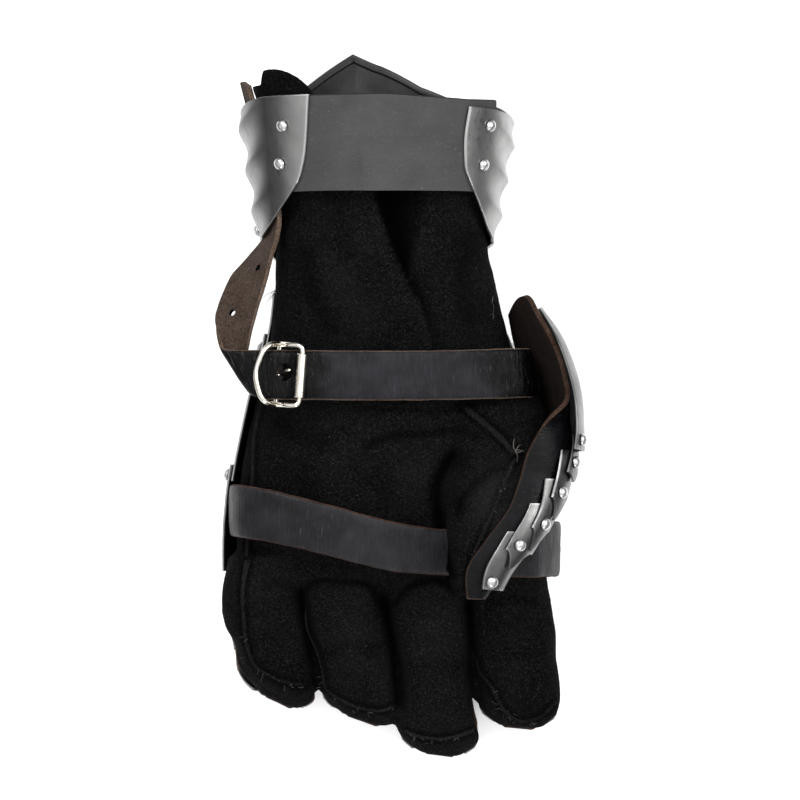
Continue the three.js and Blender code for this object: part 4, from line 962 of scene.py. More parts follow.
FLESH_M = flesh_leather("strap_flesh", (0.042, 0.029, 0.022), (0.070, 0.051, 0.041), (0.012, 0.0075, 0.006))
EDGE_M = flesh_leather("cut_edge", (0.060, 0.040, 0.028), (0.12, 0.088, 0.067), (0.018, 0.011, 0.009))
DARK_EDGE_M = flesh_leather("dark_cut_edge", (0.030, 0.016, 0.012), (0.065, 0.036, 0.026), (0.009, 0.005, 0.004))
BAND_M = band_leather("band_hide")
BAND_EDGE_M = flesh_leather("band_edge", (0.012, 0.011, 0.011), (0.03, 0.028, 0.027), (0.004, 0.004, 0.004))
FLAP_IN_M = flesh_leather("flap_flesh", (0.0050, 0.0030, 0.0024), (0.0160, 0.0088, 0.0064), (0.0012, 0.0008, 0.0008))
FLAP_EDGE_M = flesh_leather("flap_edge", (0.026, 0.0140, 0.0095), (0.062, 0.038, 0.027), (0.007, 0.004, 0.003))
STRIP_M = grain_leather("strip_grain", (0.0016, 0.0015, 0.0018), (0.0050, 0.0047, 0.0060), 0.34, creases=0.4, bumps=1.4, glossy=0.5, spec=0.09)
THREAD_M = thread("loose_thread")

# ---------------------------------------------------------------- cuff
CENTRE = np.array([-9.0, 110.0, 50.0])


def on_floor(P):
    P[..., 2] = np.maximum(P[..., 2], 0.0)
    return P


def darken_metal(o, value):
    """Writes how dark a slab's metal is, value (nv, nu), onto its vertices."""
    edge1, edge0 = np.repeat(value[:, -1:], 3, 1), np.repeat(value[:, :1], 3, 1)
    rows_ = np.concatenate([value, edge1, value[:, ::-1], edge0], 1)
    tag = o.data.attributes.new("painted_shading_and_darkening", "FLOAT", "POINT")
    tag.data.foreach_set("value", np.clip(rows_, 0, 1).astype(np.float32).ravel())


def cuff_plate():
    hem = HEM_WIDTH / 74
    v = np.concatenate([np.linspace(0, 1 - hem * 1.5, 96), 1 - hem * np.array([1.3, 1.16, 1.06, 1.0, 0.9, 0.75, 0.6, 0.45, 0.3, 0.18, 0.08, 0.02, 0.0])])
    u = np.linspace(0, 1, 361)
    P, U, W = grid(cuff_surface, 0, 0, u, v)
    n = grid_normals(P, CENTRE)
    s = (1 - W) / hem
    roll = np.where(s < 1, np.sqrt(np.clip(1 - (np.abs(s - 0.5) / 0.5) ** 4, 0, 1)), 0)
    shallow = smooth((0.37 - np.abs(U - 0.5)) / 0.04)
    t = STEEL + HEM * roll * shallow
    P = P + n * (0.35 * roll * shallow)[..., None]
    # beaten plate: slow, shallow unevenness
    k = fbm(P.reshape(-1, 3), 16, 2, 3).reshape(P.shape[:2])
    P = P + n * (0.18 * k * smooth((1 - W) / 0.06))[..., None]
    P = on_floor(P)
    o = slab("cuff_plate", P, n, t, (STEEL_M, DARK_STEEL_M, STEEL_M), 0.4)
    # painted shade: the steel is darkened by how far its normal leans from straight up, most at 50 to 60 degrees, less
    # towards the right and at the wing ends, with a little noise
    lean = np.degrees(np.arccos(np.clip(n[..., 2], -1, 1)))
    flank_painted_shade = np.interp(lean, [0, 29, 37, 50, 60, 70, 90, 130, 180], [0, 0, 0.22, 0.84, 0.80, 0.62, 0.55, 0.5, 0.4])
    flank_painted_shade = flank_painted_shade * lerp(1, 0.5, smooth((P[..., 0] + 9) / 10))
    flank_painted_shade = flank_painted_shade * (1 - 0.75 * smooth((np.exp(-np.minimum(U, 1 - U) / 0.004) - 0.3) / 0.4))
    darken_metal(o, flank_painted_shade + 0.06 * fbm(P.reshape(-1, 3), 9, 2, 15).reshape(flank_painted_shade.shape))
    v_ = np.empty(len(o.data.vertices) * 3)
    o.data.vertices.foreach_get("co", v_)
    v_[2::3] = np.maximum(v_[2::3], 0)
    o.data.vertices.foreach_set("co", v_)
    stands_for(o, "plate_steel", "cuff_plate")


cuff_plate()


def leather_wave(P, n, amp, scale, seed):
    return P + n * (amp * fbm(P.reshape(-1, 3), scale, 2, seed).reshape(P.shape[:2]))[..., None]


P, U, W = grid(band_surface, 121, 61)
N = grid_normals(P, CENTRE)
P = leather_wave(P, N, 0.25, 18, 5)
stands_for(slab("cuff_band", P, N, LEATHER, (BAND_M, FLESH_M, BAND_EDGE_M), 0.5), "band_leather", "cuff_band")


def dome(p, n, r=RIVET_R, h=RIVET_H, seed=0.0, shank=3.0):
    """Round rivet head, a little uneven as a hammered one is."""
    g = GAP
    profile = [(0, -shank), (SHANK_R, -shank), (SHANK_R, g - 0.05), (r * 0.90, g - 0.05), (r * 0.985, g + 0.10), (r, g + 0.25)]
    for a in np.linspace(10, 84, 9):
        k = math.radians(a)
        profile.append((r * math.cos(k) ** 0.9, g + 0.25 + (h - 0.25) * math.sin(k) ** 1.15))
    profile.append((0, g + h))
    v, f = turned(profile, np.zeros(3), np.array([0, 0, 1.0]), 30)
    k = fbm(v + seed * 3.1, 1.3, 2, seed)
    lift = np.clip((v[:, 2] - g) / h, 0, 1)
    v = v * (1 + 0.045 * k * lift)[:, None]
    n = unit(np.asarray(n, float))
    a = unit(np.cross(n, [0, 1.0, 0] if abs(n[1]) < 0.9 else [1.0, 0, 0]))
    b = np.cross(n, a)
    return p + v[:, :1] * a + v[:, 1:2] * b + v[:, 2:3] * n, f


def put_rivet(name, p, n, seed, **kw):
    v, f = dome(np.asarray(p, float), n, seed=seed, **kw)
    o = to_object(name, v, f, [RIVET_M])
    outward(o)
    o.data.set_sharp_from_angle(angle=math.radians(60))
    stands_for(o, "rivet_steel", name)


def facing(n, p, c):
    return n if np.dot(n, np.asarray(p) - np.asarray(c)) > 0 else -n


for i, r in enumerate(CUFF_RIVETS):
    p, n, u, v = find(cuff_surface, r["x"], r["y"])
    put_rivet(f"cuff_rivet_{i + 1}", p, facing(n, p, CENTRE), i + 1.0, shank=4.2)

# ---------------------------------------------------------------- back of the hand


def plate_piece(r):
    f = plate_surface(r)
    nv = max(24, int(abs(r["y1"] - r["y0"]) / 1.1))
    P, U, W = grid(f, 221, nv)
    n = grid_normals(P)
    k = P.shape[0] // 2, P.shape[1] // 2
    if n[k][2] > 0:
        n = -n
    dent = fbm(P.reshape(-1, 3), 14, 2, 9).reshape(P.shape[:2])
    P = P + n * (0.15 * dent - 0.1)[..., None]
    Q = on_floor(P.copy())
    o = slab(r["name"], Q, n, STEEL, (STEEL_M, DARK_STEEL_M, STEEL_M), 0.4)
    stands_for(o, "plate_steel", r["name"])
    return f


plate_of = {r["name"]: plate_piece(r) for r in PLATES}
for i, r in enumerate(SIDE_STUDS):
    f = cuff_surface if r["on"] == "cuff_plate" else plate_of[r["on"]]
    p = f(r["u"], r["v"])
    n = normal_at(f, r["u"], r["v"], 2e-3)
    put_rivet(r["name"], p, facing(n, p, [-6, p[1], 46]), 10.0 + i, shank=1.0)

# ---------------------------------------------------------------- finger strips and lames
FINGER_START, STRIP_T, LAME_T = -65.0, 1.5, 1.0


def offset(f, d, up=None, e=2e-3):
    """The surface f pushed out by d (number or function of v) along its normal; up fixes the normal's sign."""
    def g(u, v):
        u, v = np.broadcast_arrays(np.asarray(u, float), np.asarray(v, float))
        n = unit(np.cross(f(np.clip(u + e, 0, 1), v) - f(np.clip(u - e, 0, 1), v), f(u, np.clip(v + e, 0, 1)) - f(u, np.clip(v - e, 0, 1))))
        n = np.where((n[..., up[0]] * up[1] < 0)[..., None], -n, n)
        k = d(v) if callable(d) else d
        return f(u, v) + n * np.asarray(k)[..., None]
    return g


for name in FINGERS:
    under = finger_under(name)
    ends = 1 - (1 - np.linspace(0, 1, 70)) ** 1.35
    P, U, W = grid(under, 25, 0, None, ends)
    n = grid_normals(P)
    n = np.where((n[..., 2] > 0)[..., None], -n, n)
    stands_for(slab(f"{name}_strip", P, n, STRIP_T, (STRIP_M, FLESH_M, DARK_EDGE_M), 0.4), "strip_leather", f"{name}_strip")
    for k in range(LAMES_PER_FINGER):
        v0 = k * 0.325
        v1 = min(v0 + 0.375, 0.985)

        def lame(u, w, v0=v0, v1=v1, under=under):
            # the far edge comes to a low point at the middle of the finger
            v = lerp(v0, v1, w)
            p = under(lerp(0.03, 0.97, u), v)
            e = 2e-3
            uu = lerp(0.03, 0.97, u)
            n = unit(np.cross(under(uu + e, v) - under(uu - e, v), under(uu, np.clip(v + e, 0, 1)) - under(uu, np.clip(v - e, 0, 1))))
            n = np.where((n[..., 2] > 0)[..., None], -n, n)
            ridge = 0.5 * np.exp(-((np.asarray(u) - 0.5) / 0.08) ** 2)
            return p + n * (GAP + 0.1 + 2 * LAME_T + 1.7 * w + ridge)[..., None]

        P, U, W = grid(lame, 41, 24)
        n = grid_normals(P)
        n = np.where((n[..., 2] > 0)[..., None], -n, n)
        stands_for(slab(f"{name}_lame_{k + 1}", on_floor(P), n, LAME_T, (LAME_M, DARK_STEEL_M, LAME_M), 0.35), "plate_steel", f"{name}_lame_{k + 1}")

# ---------------------------------------------------------------- thumb strip, plate and lames
strip_surface = arc3(THUMB_STRIP)
P, U, W = grid(strip_surface, 49, 180)
N = grid_normals(P, [42, -19, 60])
P = leather_wave(P, N, 0.35, 13, 11)
stands_for(slab("thumb_strip", P, N, LEATHER, (STRIP_M, FLAP_IN_M, FLAP_EDGE_M), 0.5), "strip_leather", "thumb_strip")
thumb_surfaces = {"thumb_plate": arc3(THUMB_PLATE)}
P, U, W = grid(thumb_surfaces["thumb_plate"], 61, 80)
N = grid_normals(P, [50, 4, 60])
o = slab("thumb_plate", P, N, STEEL, (LAME_M, DARK_STEEL_M, LAME_M), 0.4)
darken_metal(o, 0.45 + 0.2 * fbm(P.reshape(-1, 3), 9, 2, 17).reshape(U.shape))
stands_for(o, "plate_steel", "thumb_plate")
def lame_tip(u):
    u = np.asarray(u, float)
    return np.where(u < LAME_TIP_AT, (u / LAME_TIP_AT) ** 1.6, np.exp(-((u - LAME_TIP_AT) / 0.1) ** 2))


for r in THUMB_LAMES:
    def f(u, w, r=r):
        w = np.asarray(w, float)
        k = w * (1 + r["tip"] * lame_tip(u))
        v = lerp(r["v0"], r["v1"], k)
        uu = lerp(lerp(r["u0"], r["u1"], w), 0.98, u)
        lift = lerp(r["lift0"], r["lift1"], k)
        e = 2e-3
        n = unit(np.cross(strip_surface(uu + e, v) - strip_surface(uu - e, v), strip_surface(uu, np.clip(v + e, 0, 1)) - strip_surface(uu, np.clip(v - e, 0, 1))))
        n = np.where((n[..., 0] < 0)[..., None], -n, n)
        return strip_surface(uu, v) + n * lift[..., None]
    thumb_surfaces[r["name"]] = f
    P, U, W = grid(f, 61, 36)
    N = grid_normals(P)
    N = np.where((N[..., 0] < 0)[..., None], -N, N)
    o = slab(r["name"], P, N, STEEL * 0.9, (LAME_M, DARK_STEEL_M, LAME_M), 0.35)
    # painted shade in the step beside the lame before, deepest away from the palm edge; the whole lame is also darkened
    # unevenly, by up to about a half
    u_of, w_of = U, W
    darkening_and_painted_shade = 0.94 * smooth((u_of - 0.36) / 0.14) * (1 - 0.6 * smooth((w_of - 0.93) / 0.05))
    darkening_and_painted_shade = np.maximum(darkening_and_painted_shade, 0.25 + 0.25 * fbm(P.reshape(-1, 3), 6, 2, 21).reshape(u_of.shape))
    darken_metal(o, darkening_and_painted_shade)
    stands_for(o, "plate_steel", r["name"])
for i, r in enumerate(THUMB_RIVETS):
    f = thumb_surfaces[r["on"]]
    p, n, u, v = find(f, r["x"], r["y"])
    put_rivet(f"thumb_rivet_{i + 1}", p, n if n[0] > 0 else -n, 20.0 + i, shank=1.6)

# ---------------------------------------------------------------- straps
wrist, palm = ribbon(WRIST_STRAP), ribbon(PALM_STRAP)


def strap(name, f, table, per, mats, wave, seed, edge_wave=0.18):
    v = np.linspace(0, 1, per * (len(table) - 1) + 1)
    P, U, W = grid(f, 21, 0, None, v)
    n = grid_normals(P)
    flat = P[len(v) // 4, 10]
    if n[len(v) // 4, 10][2] < 0:
        n = -n
    side = unit(P[:, -1] - P[:, 0])[:, None]
    k = fbm(P[:, 0] * 1.0, 7, 2, seed), fbm(P[:, -1] * 1.0, 7, 2, seed + 1)
    P = P - n * (0.55 * np.abs(2 * U - 1) ** 7)[..., None]  # pressed edges
    P = P + side * (edge_wave * (k[1][:, None] * U - k[0][:, None] * (1 - U)))[..., None]
    P = leather_wave(P, n, wave, 11, seed)
    return slab(name, P, n, LEATHER, mats, 0.5)


def bore(f, lo, hi, holes, sides=40):
    out = []
    for h in holes:
        part = lambda u, v: f(u, lerp(lo, hi, np.asarray(v, float)))
        p, n, u, v = find(part, h["x"], h["y"])
        out.append(turned([(0, -5), (h["r"], -5), (h["r"], 5), (0, 5)], p, n, sides))
    return out


o = strap("wrist_strap", wrist, WRIST_STRAP, 22, (STRAP_M, FLESH_M, EDGE_M), 0.28, 31)
cut(o, bore(wrist, 0.3, 0.5, [dict(STRAP_HOLES[0], r=3.6)]) + bore(wrist, 0.6, 0.9, STRAP_HOLES[1:]))
stands_for(o, "strap_leather", "wrist_strap")
o = strap("palm_strap", palm, PALM_STRAP, 26, (PALM_STRAP_M, FLESH_M, DARK_EDGE_M), 0.25, 37)
stands_for(o, "strap_leather", "palm_strap")
p = palm(np.array(0.5), np.array(0.955))
n = normal_at(palm, np.array(0.5), np.array(0.955), 2e-3)
put_rivet("palm_strap_rivet", p, n if n[0] > 0 else -n, 41.0, shank=2.0)

# ---------------------------------------------------------------- buckle


def at_buckle(v):
    a = math.radians(-BUCKLE["tilt"])
    v = np.asarray(v, float)
    x = v[:, 0] * math.cos(a) - v[:, 1] * math.sin(a)
    y = v[:, 0] * math.sin(a) + v[:, 1] * math.cos(a)
    return np.stack([x + BUCKLE["x"], y + BUCKLE["y"], v[:, 2] + BUCKLE["z"]], -1)


def dip(dx):
    return BUCKLE["rise"] * math.sin(min(1, abs(dx) / 7.5) * math.pi / 2)


half, to_roller, to_arc = BUCKLE["half"], BUCKLE["toRoller"], BUCKLE["toArc"]
frame_line = [
    [to_roller, -half + 1.9], [to_roller, 0], [to_roller, half - 1.9], [to_roller - 1.6, half - 0.1], [3.5, half], [0, half], [-4, half - 0.5],
    [-7.2, half - 4.0], [-to_arc, 0], [-7.2, -half + 4.0], [-4, -half + 0.5], [0, -half], [3.5, -half], [to_roller - 1.6, -half + 0.1],
]
line = spline([(x, y, dip(x)) for x, y in frame_line], 150, closed=True)
v1, f1 = sweep(line, WIRE_R, 18, closed=True)
v2, f2 = sweep([(0, -half + 0.1, 0), (0, -4, 0), (0, 4, 0), (0, half - 0.1, 0)], WIRE_R * 0.96, 18)
v, f = merge([(v1, f1), (v2, f2)])
o = to_object("buckle_frame", at_buckle(v), f, [NICKEL_M])
outward(o)
stands_for(o, "buckle_nickel", "buckle_frame")
length = 2 * (half - 3.3)
ROLLER_WIDE = ROLLER_R + 0.3
prof = [(WIRE_R + 0.3, -length / 2 + 0.2), (WIRE_R + 0.45, -length / 2), (ROLLER_WIDE - 0.25, -length / 2), (ROLLER_WIDE, -length / 2 + 0.25)]
prof += [(ROLLER_WIDE - 0.03 * math.sin(math.pi * k / 8), lerp(-length / 2 + 0.25, length / 2 - 0.25, k / 8)) for k in range(1, 8)]
prof += [(ROLLER_WIDE, length / 2 - 0.25), (ROLLER_WIDE - 0.25, length / 2), (WIRE_R + 0.45, length / 2), (WIRE_R + 0.3, length / 2 - 0.2), (WIRE_R + 0.3, -length / 2 + 0.2)]
v, f = turned(prof, np.array([to_roller, 0, dip(to_roller)]), np.array([0, 1.0, 0]), 48)
o = to_object("buckle_roller", at_buckle(v), f, [NICKEL_M])
bm = bmesh.new()
bm.from_mesh(o.data)
bmesh.ops.remove_doubles(bm, verts=bm.verts, dist=1e-7)
bm.to_mesh(o.data)
bm.free()
outward(o)
o.data.set_sharp_from_angle(angle=math.radians(40))
stands_for(o, "buckle_nickel", "buckle_roller")
pts = [[1.5, 0, -1.75], [-0.7, 0, -2.2], [-2.25, 0, -0.6], [-1.5, 0, 1.75], [0.6, 0, 2.6], [2.2, 0, 4.2], [3.4, 0, 6.4], [5.0, 0, 8.0]]
line = spline([(x, y + 0.6 + 0.25 * max(0, z - 1.5), z) for x, y, z in pts], 60)
rad = np.interp(np.linspace(0, 1, 60), [0, 0.1, 0.8, 0.96, 1], [0.7, 0.85, 0.8, 0.7, 0.35])
v, f = sweep(line, rad, 16)
o = to_object("buckle_prong", at_buckle(v), f, [NICKEL_M])
outward(o)
stands_for(o, "buckle_nickel", "buckle_prong")

line = spline([(r["dx"], 0, r["dz"]) for r in CHAPE], 110)
t = unit(np.gradient(line, axis=0))
nn = np.stack([t[:, 2], np.zeros(len(t)), -t[:, 0]], -1)
w = np.linspace(CHAPE_WIDTH / 2, -CHAPE_WIDTH / 2, 17)
P = np.repeat(line[:, None], 17, 1)
P[..., 1] = w[None, :]
P[..., 0] += CHAPE_SKEW * P[..., 1] * np.clip(1 - 3 * np.linspace(0, 1, len(line)), 0, 1)[:, None]
shape = P.shape
P = at_buckle(P.reshape(-1, 3)).reshape(shape)
N = at_buckle(np.repeat(nn[:, None], 17, 1).reshape(-1, 3)).reshape(shape) - np.array([BUCKLE["x"], BUCKLE["y"], BUCKLE["z"]])
o = slab("buckle_chape", P, N, CHAPE_LEATHER, (STRAP_M, FLESH_M, EDGE_M), 0.4)
bx = np.array([[x, y, z] for x in (-3.7, 4.9) for y in (-0.5, 1.7) for z in (-3.5, 3.5)], float)
fx = [(0, 1, 3, 2), (4, 6, 7, 5), (0, 4, 5, 1), (2, 3, 7, 6), (0, 2, 6, 4), (1, 5, 7, 3)]
cut(o, [(at_buckle(bx), fx)])
stands_for(o, "strap_leather", "buckle_chape")

# ---------------------------------------------------------------- glove


def ring_points(y, cx, cz, hw, hh, n, count):
    a = np.linspace(0, 2 * math.pi, count, endpoint=False)
    return vec(cx + hw * sgnpow(np.cos(a), 2 / n), y, cz + hh * sgnpow(np.sin(a), 2 / n)), np.degrees(a)


def cover(y):
    ks = [-82.1, -82, -56, -26, 20, 36, 70]
    if y > 70 or y <= -82:
        return None
    return 7.7 if y > 36 else 5.8 if y > 20 else 4.0 if y > -26 else 3.0 if y > -56 else 7.0


def kept_inside(p):
    y = float(p[0, 1])
    c = cover(y)
    if c is None:
        return p
    s = {k: float(v) for k, v in at(SHELL, "y", y).items()}
    zt = min(s["zl"], s["zr"]) + 12
    r = (np.abs((p[:, 0] - s["cx"]) / (s["a"] - c)) ** SHELL_N + np.abs((p[:, 2] - s["cz"]) / (s["b"] - c)) ** SHELL_N) ** (1 / SHELL_N)
    k = np.where(r > 1, lerp(1, 1 / r, smooth((zt - p[:, 2]) / 8)), 1)
    k = np.where(p[:, 2] > zt, 1, k)
    q = p.copy()
    q[:, 0] = s["cx"] + (p[:, 0] - s["cx"]) * k
    q[:, 2] = s["cz"] + (p[:, 2] - s["cz"]) * k
    return q


def lofted(rings):
    n = len(rings[0])
    verts = np.concatenate(rings)
    faces = []
    for k in range(len(rings) - 1):
        for i in range(n):
            a, b = k * n + i, k * n + (i + 1) % n
            faces.append((a, b, b + n, a + n))
    faces.append(tuple(range(n))[::-1])
    faces.append(tuple((len(rings) - 1) * n + i for i in range(n)))
    return verts, faces


MOUTH = 127.0


MOUTH_RIM = [r for r in MOUTH_RIM if not 155 < r["ang"] < 185] + rows("ang y out", [[157, 142.2, 1.8], [162.5, 141.0, 2.4], [166.5, 136.4, 2.6], [174, 135.8, 3.4], [183, 134.8, 4.6]])
MOUTH_RIM.sort(key=lambda r: r["ang"])


def rim_at(a, column="y"):
    """Height of the open end (or how far it leans out) round the mouth, a in degrees."""
    return at(MOUTH_RIM, "ang", np.asarray(a, float) % 360)[column]


def body_rings():
    rings = []
    for y in list(np.arange(MOUTH + 8, -76, -2.5)) + [-76.0]:
        b = {k: float(v) for k, v in at(BODY, "y", y).items()}
        p, a = ring_points(y, (b["xl"] + b["xr"]) / 2, (b["zb"] + b["zt"]) / 2, (b["xr"] - b["xl"]) / 2, (b["zt"] - b["zb"]) / 2, 2.6, 120)
        p = kept_inside(p)
        if y > 104:
            share = (min(y, MOUTH) - 104) / (MOUTH - 104)
            p[:, 1] += (rim_at(a) - MOUTH) * share
            p[:, 0] -= rim_at(a, "out") * share
        rings.append(p)
    return rings


def tilted(p, cx, tilt):
    p[:, 1] += tilt * (p[:, 0] - cx)
    return p


def digit_rings(table):
    rings = []
    for k in np.linspace(0, 1, 44):
        d = {c: float(v) for c, v in along(table, k).items()}
        root = float(np.interp(d["y"], [-8, -1.5, 4.2, 10], [0, 2.0, 4.6, 1.8])) if table is THUMB else 2.4 * float(smooth((d["y"] + 108) / 16))
        p, a = ring_points(d["y"], d["cx"], d["cz"], max(0.8, d["hw"] + root), max(0.8, d["hh"]), 2.5, 64)
        rings.append(tilted(p if table is THUMB else kept_inside(p), d["cx"], d.get("tilt", 0)))
    e = table[-1]
    for share, back in ((0.95, 0.7), (0.86, 1.3), (0.7, 1.9), (0.5, 2.3)):
        p = ring_points(e["y"] - back, e["cx"], e["cz"], max(0.6, e["hw"] * share), max(0.6, e["hh"] * share), 2.4, 64)[0]
        rings.append(tilted(p, e["cx"], e.get("tilt", 0)))
    return rings


v, f = merge([lofted(body_rings())] + [lofted(digit_rings(t)) for t in list(FINGERS.values()) + [THUMB]])
glove = to_object("glove", v, f, [SUEDE_M, LINING_M, SUEDE_M])
outward(glove)
m = glove.modifiers.new("remesh", "REMESH")
m.mode, m.voxel_size = "VOXEL", 1.52 * MM
bake(glove)
m = glove.modifiers.new("relax", "SMOOTH")
m.factor, m.iterations = 0.5, 5
bake(glove)


def get_co(o):
    c = np.empty(len(o.data.vertices) * 3)
    o.data.vertices.foreach_get("co", c)
    return c.reshape(-1, 3) / MM - SHIFT


def set_co(o, c):
    o.data.vertices.foreach_set("co", ((c + SHIFT) * MM).ravel())
    o.data.update()


def get_no(o):
    c = np.empty(len(o.data.vertices) * 3)
    o.data.vertices.foreach_get("normal", c)
    return c.reshape(-1, 3)


def near_line(xy, line):
    """Distance of each point (n, 2) to a polyline, which side (+1 left of its direction), and the place along it 0 to 1."""
    line = np.asarray(line, float)
    seg = np.diff(line, axis=0)
    ln = np.linalg.norm(seg, axis=1)
    cum = np.concatenate([[0], np.cumsum(ln)])
    best = np.full(len(xy), 1e9)
    side = np.zeros(len(xy))
    pos = np.zeros(len(xy))
    for i in range(len(seg)):
        d = xy - line[i]
        t = np.clip((d @ seg[i]) / ln[i] ** 2, 0, 1)
        q = d - t[:, None] * seg[i]
        r = np.hypot(q[:, 0], q[:, 1])
        m = r < best
        best[m] = r[m]
        side[m] = np.sign(seg[i][0] * q[m, 1] - seg[i][1] * q[m, 0])
        pos[m] = (cum[i] + t[m] * ln[i]) / cum[-1]
    return best, side, pos


SEAMS = [  # raised seams: line (x, y), radius, how deep it is sunk
    ([(26.4, 0.6), (34.4, -6.2), (42, -12.8), (48.3, -19.8)], 1.35, 0.35),
    ([(-58, 2.1), (-61.3, -12.2), (-62.2, -32.3), (-64.7, -64.3), (-66.6, -76.9)], 0.85, 0.25),
    ([(49.9, -20.4), (47, -23.9), (44.4, -30.7), (40.6, -39.9), (35, -52.1), (31.2, -61.3), (29.4, -68), (28.6, -76)], 0.9, 0.2),
    ([(-62.6, -61.3), (-66.1, -75.9), (-65.6, -92), (-64, -101.6), (-61.5, -108.2), (-56.7, -112.1), (-48.7, -115.5), (-39.4, -117.2)], 0.8, 0.2),
    ([(-39.7, -84), (-38.9, -93.7), (-35.4, -101.6), (-32.5, -111.3), (-31.7, -117.9), (-26, -122.6), (-16.4, -126.8), (-6.7, -127.7), (-1.5, -124.6)], 0.8, 0.2),
    ([(0.6, -135.7), (6.3, -138.1), (16, -139.7), (25.6, -138.1), (31.6, -135.7)], 0.8, 0.2),
    ([(32.1, -105), (33.6, -111.3), (38.6, -117.9), (41.8, -124.3), (45.1, -129.2), (51.5, -132.3), (59.6, -129.8), (65.6, -124.2)], 0.8, 0.2),
]

# folds on the palm side, lines of (x, y)
V_EDGE = [(-10.8, 104), (-10.1, 88.6), (-5.9, 74.3), (1.7, 55.9), (9.2, 42.4), (13.4, 27.3), (14.6, 14.0)]
V_FAR = [(12.8, 104), (11.8, 88.6), (9.2, 78.5), (5.9, 64.3), (4.6, 53.0)]
FOLDS = [  # line, depth and width of its groove, then a swelling beside it: height and width (left of the line if positive)
    ([(25.2, -16.1), (20.0, -24), (16.2, -32), (16, -39.9), (17.6, -51), (20.2, -62.6), (23.5, -76)], 4.4, 2.2, 0.8, 6),
    ([(-17.6, -18.1), (-5, -13), (7.6, -11.8), (20.2, -10.5), (28.6, -10.9), (35.3, -15.5)], 1.5, 1.7, 2.4, -9),
    ([(23.6, -48), (26.9, -36.8), (34.5, -30), (45, -24)], 1.6, 1.5, 1.8, -8),
    ([(-23.9, 1.9), (-6, -0.4), (11.8, -0.8), (25, 0.4), (37, 2.6)], 0.9, 1.3, 1.2, 3),
    ([(-40, 70), (-38, 52), (-33, 38), (-26, 28)], 1.5, 4.0, 0, 1),
    ([(30, 78), (27, 62), (27, 46), (33, 32)], 1.3, 4.5, 0, 1),
    ([(-30, 92), (-25, 74), (-22, 60)], 1.0, 4.0, 0, 1),
    ([(-54, -4), (-44, -12), (-30, -16)], 1.0, 3.5, 0, 1),
    ([(-46, -20), (-40, -34), (-42, -48)], 0.9, 5.0, 0, 1),
    ([(-12, -26), (-6, -36), (-7, -46)], 0.8, 4.0, 0, 1),
    # palm edge of the finger pads
    ([(-58, -76), (-50, -75.2), (-43, -77.5)], 1.0, 1.6, 1.2, -7),
    ([(-41.6, -81.1), (-36.5, -73.9), (-26.9, -73.3), (-17.6, -73.9), (-12.6, -75.2), (-6.3, -85.7)], 1.7, 1.5, 1.6, -8),
    ([(-4.2, -85.7), (3.8, -75.2), (14.3, -72.2), (20.6, -74.3), (26, -80)], 1.7, 1.5, 1.4, -8),
    ([(34, -84), (42, -80), (52, -80.5), (58, -84)], 1.0, 1.8, 1.0, -8),
    # between the fingers
    ([(-42.5, -74), (-40.4, -84), (-38.6, -94), (-36.4, -103), (-34.4, -112), (-35.6, -119)], 6.5, 2.0, 0, 1),
    ([(-8.5, -76), (-5.6, -86), (-3.4, -97), (-1.4, -108), (-0.6, -118), (-0.2, -128)], 6.5, 2.0, 0, 1),
    ([(28.6, -76), (29.6, -88), (30.6, -100), (31.6, -110), (32.6, -118), (33.6, -128)], 6.0, 2.0, 0, 1),
    # soft creases across the fingers
    ([(-62, -98), (-50, -96), (-42, -98)], 0.7, 2.4, 0, 1),
    ([(-34, -104), (-20, -101), (-8, -104)], 0.8, 2.4, 0, 1),
    ([(2, -112), (14, -109), (27, -112)], 0.7, 2.6, 0, 1),
    ([(36, -106), (48, -103), (60, -106)], 0.7, 2.4, 0, 1),
]
V_DEPTH = ([14, 27, 42, 56, 66, 80, 92, 104], [0, 1.4, 3.4, 6.0, 8.5, 8.8, 7.5, 6])


def shape_glove():
    c, n = get_co(glove), get_no(glove)
    top = smooth((n[:, 2] + 0.15) / 0.5) * smooth((c[:, 2] - 26) / 12)
    low = np.where(c[:, 1] < -80, smooth((n[:, 2] - 0.0) / 0.4), top)
    xy = c[:, :2]
    d = np.zeros(len(c))
    for line, depth, width, lift, reach in FOLDS:
        r, side, pos = near_line(xy, spline_xy(line))
        ends = smooth(pos / 0.12) * smooth((1 - pos) / 0.12)
        d -= depth * np.exp(-(r / width) ** 2) * ends
        if lift:
            d += lift * (1 - np.exp(-(r / 1.6) ** 2)) * np.exp(-(r / abs(reach)) ** 2) * (side * reach > 0) * ends
    # wrist: the left panel laps over a deep fold
    r, side, pos = near_line(xy, spline_xy(V_EDGE))
    r2, side2, pos2 = near_line(xy, spline_xy(V_FAR))
    deep = np.interp(xy[:, 1], *V_DEPTH)
    right = side > 0
    share = r / np.maximum(r + r2, 0.1)
    between = right & (side2 < 0) & (xy[:, 1] > 50)
    drop = np.where(between, 1 - share ** 2.2, np.exp(-(r / 3.4) ** 1.4) * (xy[:, 1] <= 56))
    drop = np.where(right, drop * smooth(r / 1.3), 0) * deep
    d += np.where(right, -drop, 1.9 * np.exp(-((r - 4.5) / 6.0) ** 2) * np.minimum(1, deep / 5))
    d += np.where(right & ~between, 1.0 * np.exp(-((r2 - 4) / 5.0) ** 2) * smooth((xy[:, 1] - 52) / 14), 0)
    out = c + np.array([0, 0, 1.0]) * (d * low)[:, None]
    out[:, 0] += np.where(right, 0, 1.3 * np.exp(-(r / 2.6) ** 2) * np.minimum(1, deep / 5)) * top
    # soft leather: lumps of several sizes all over
    lumps = 0.8 * fbm(c, 26, 3, 2) + 0.30 * fbm(c, 7, 2, 4)
    calm = np.where(c[:, 2] < 30, 0.25, 1.0)
    out = out + n * (lumps * calm)[:, None]
    set_co(glove, out)


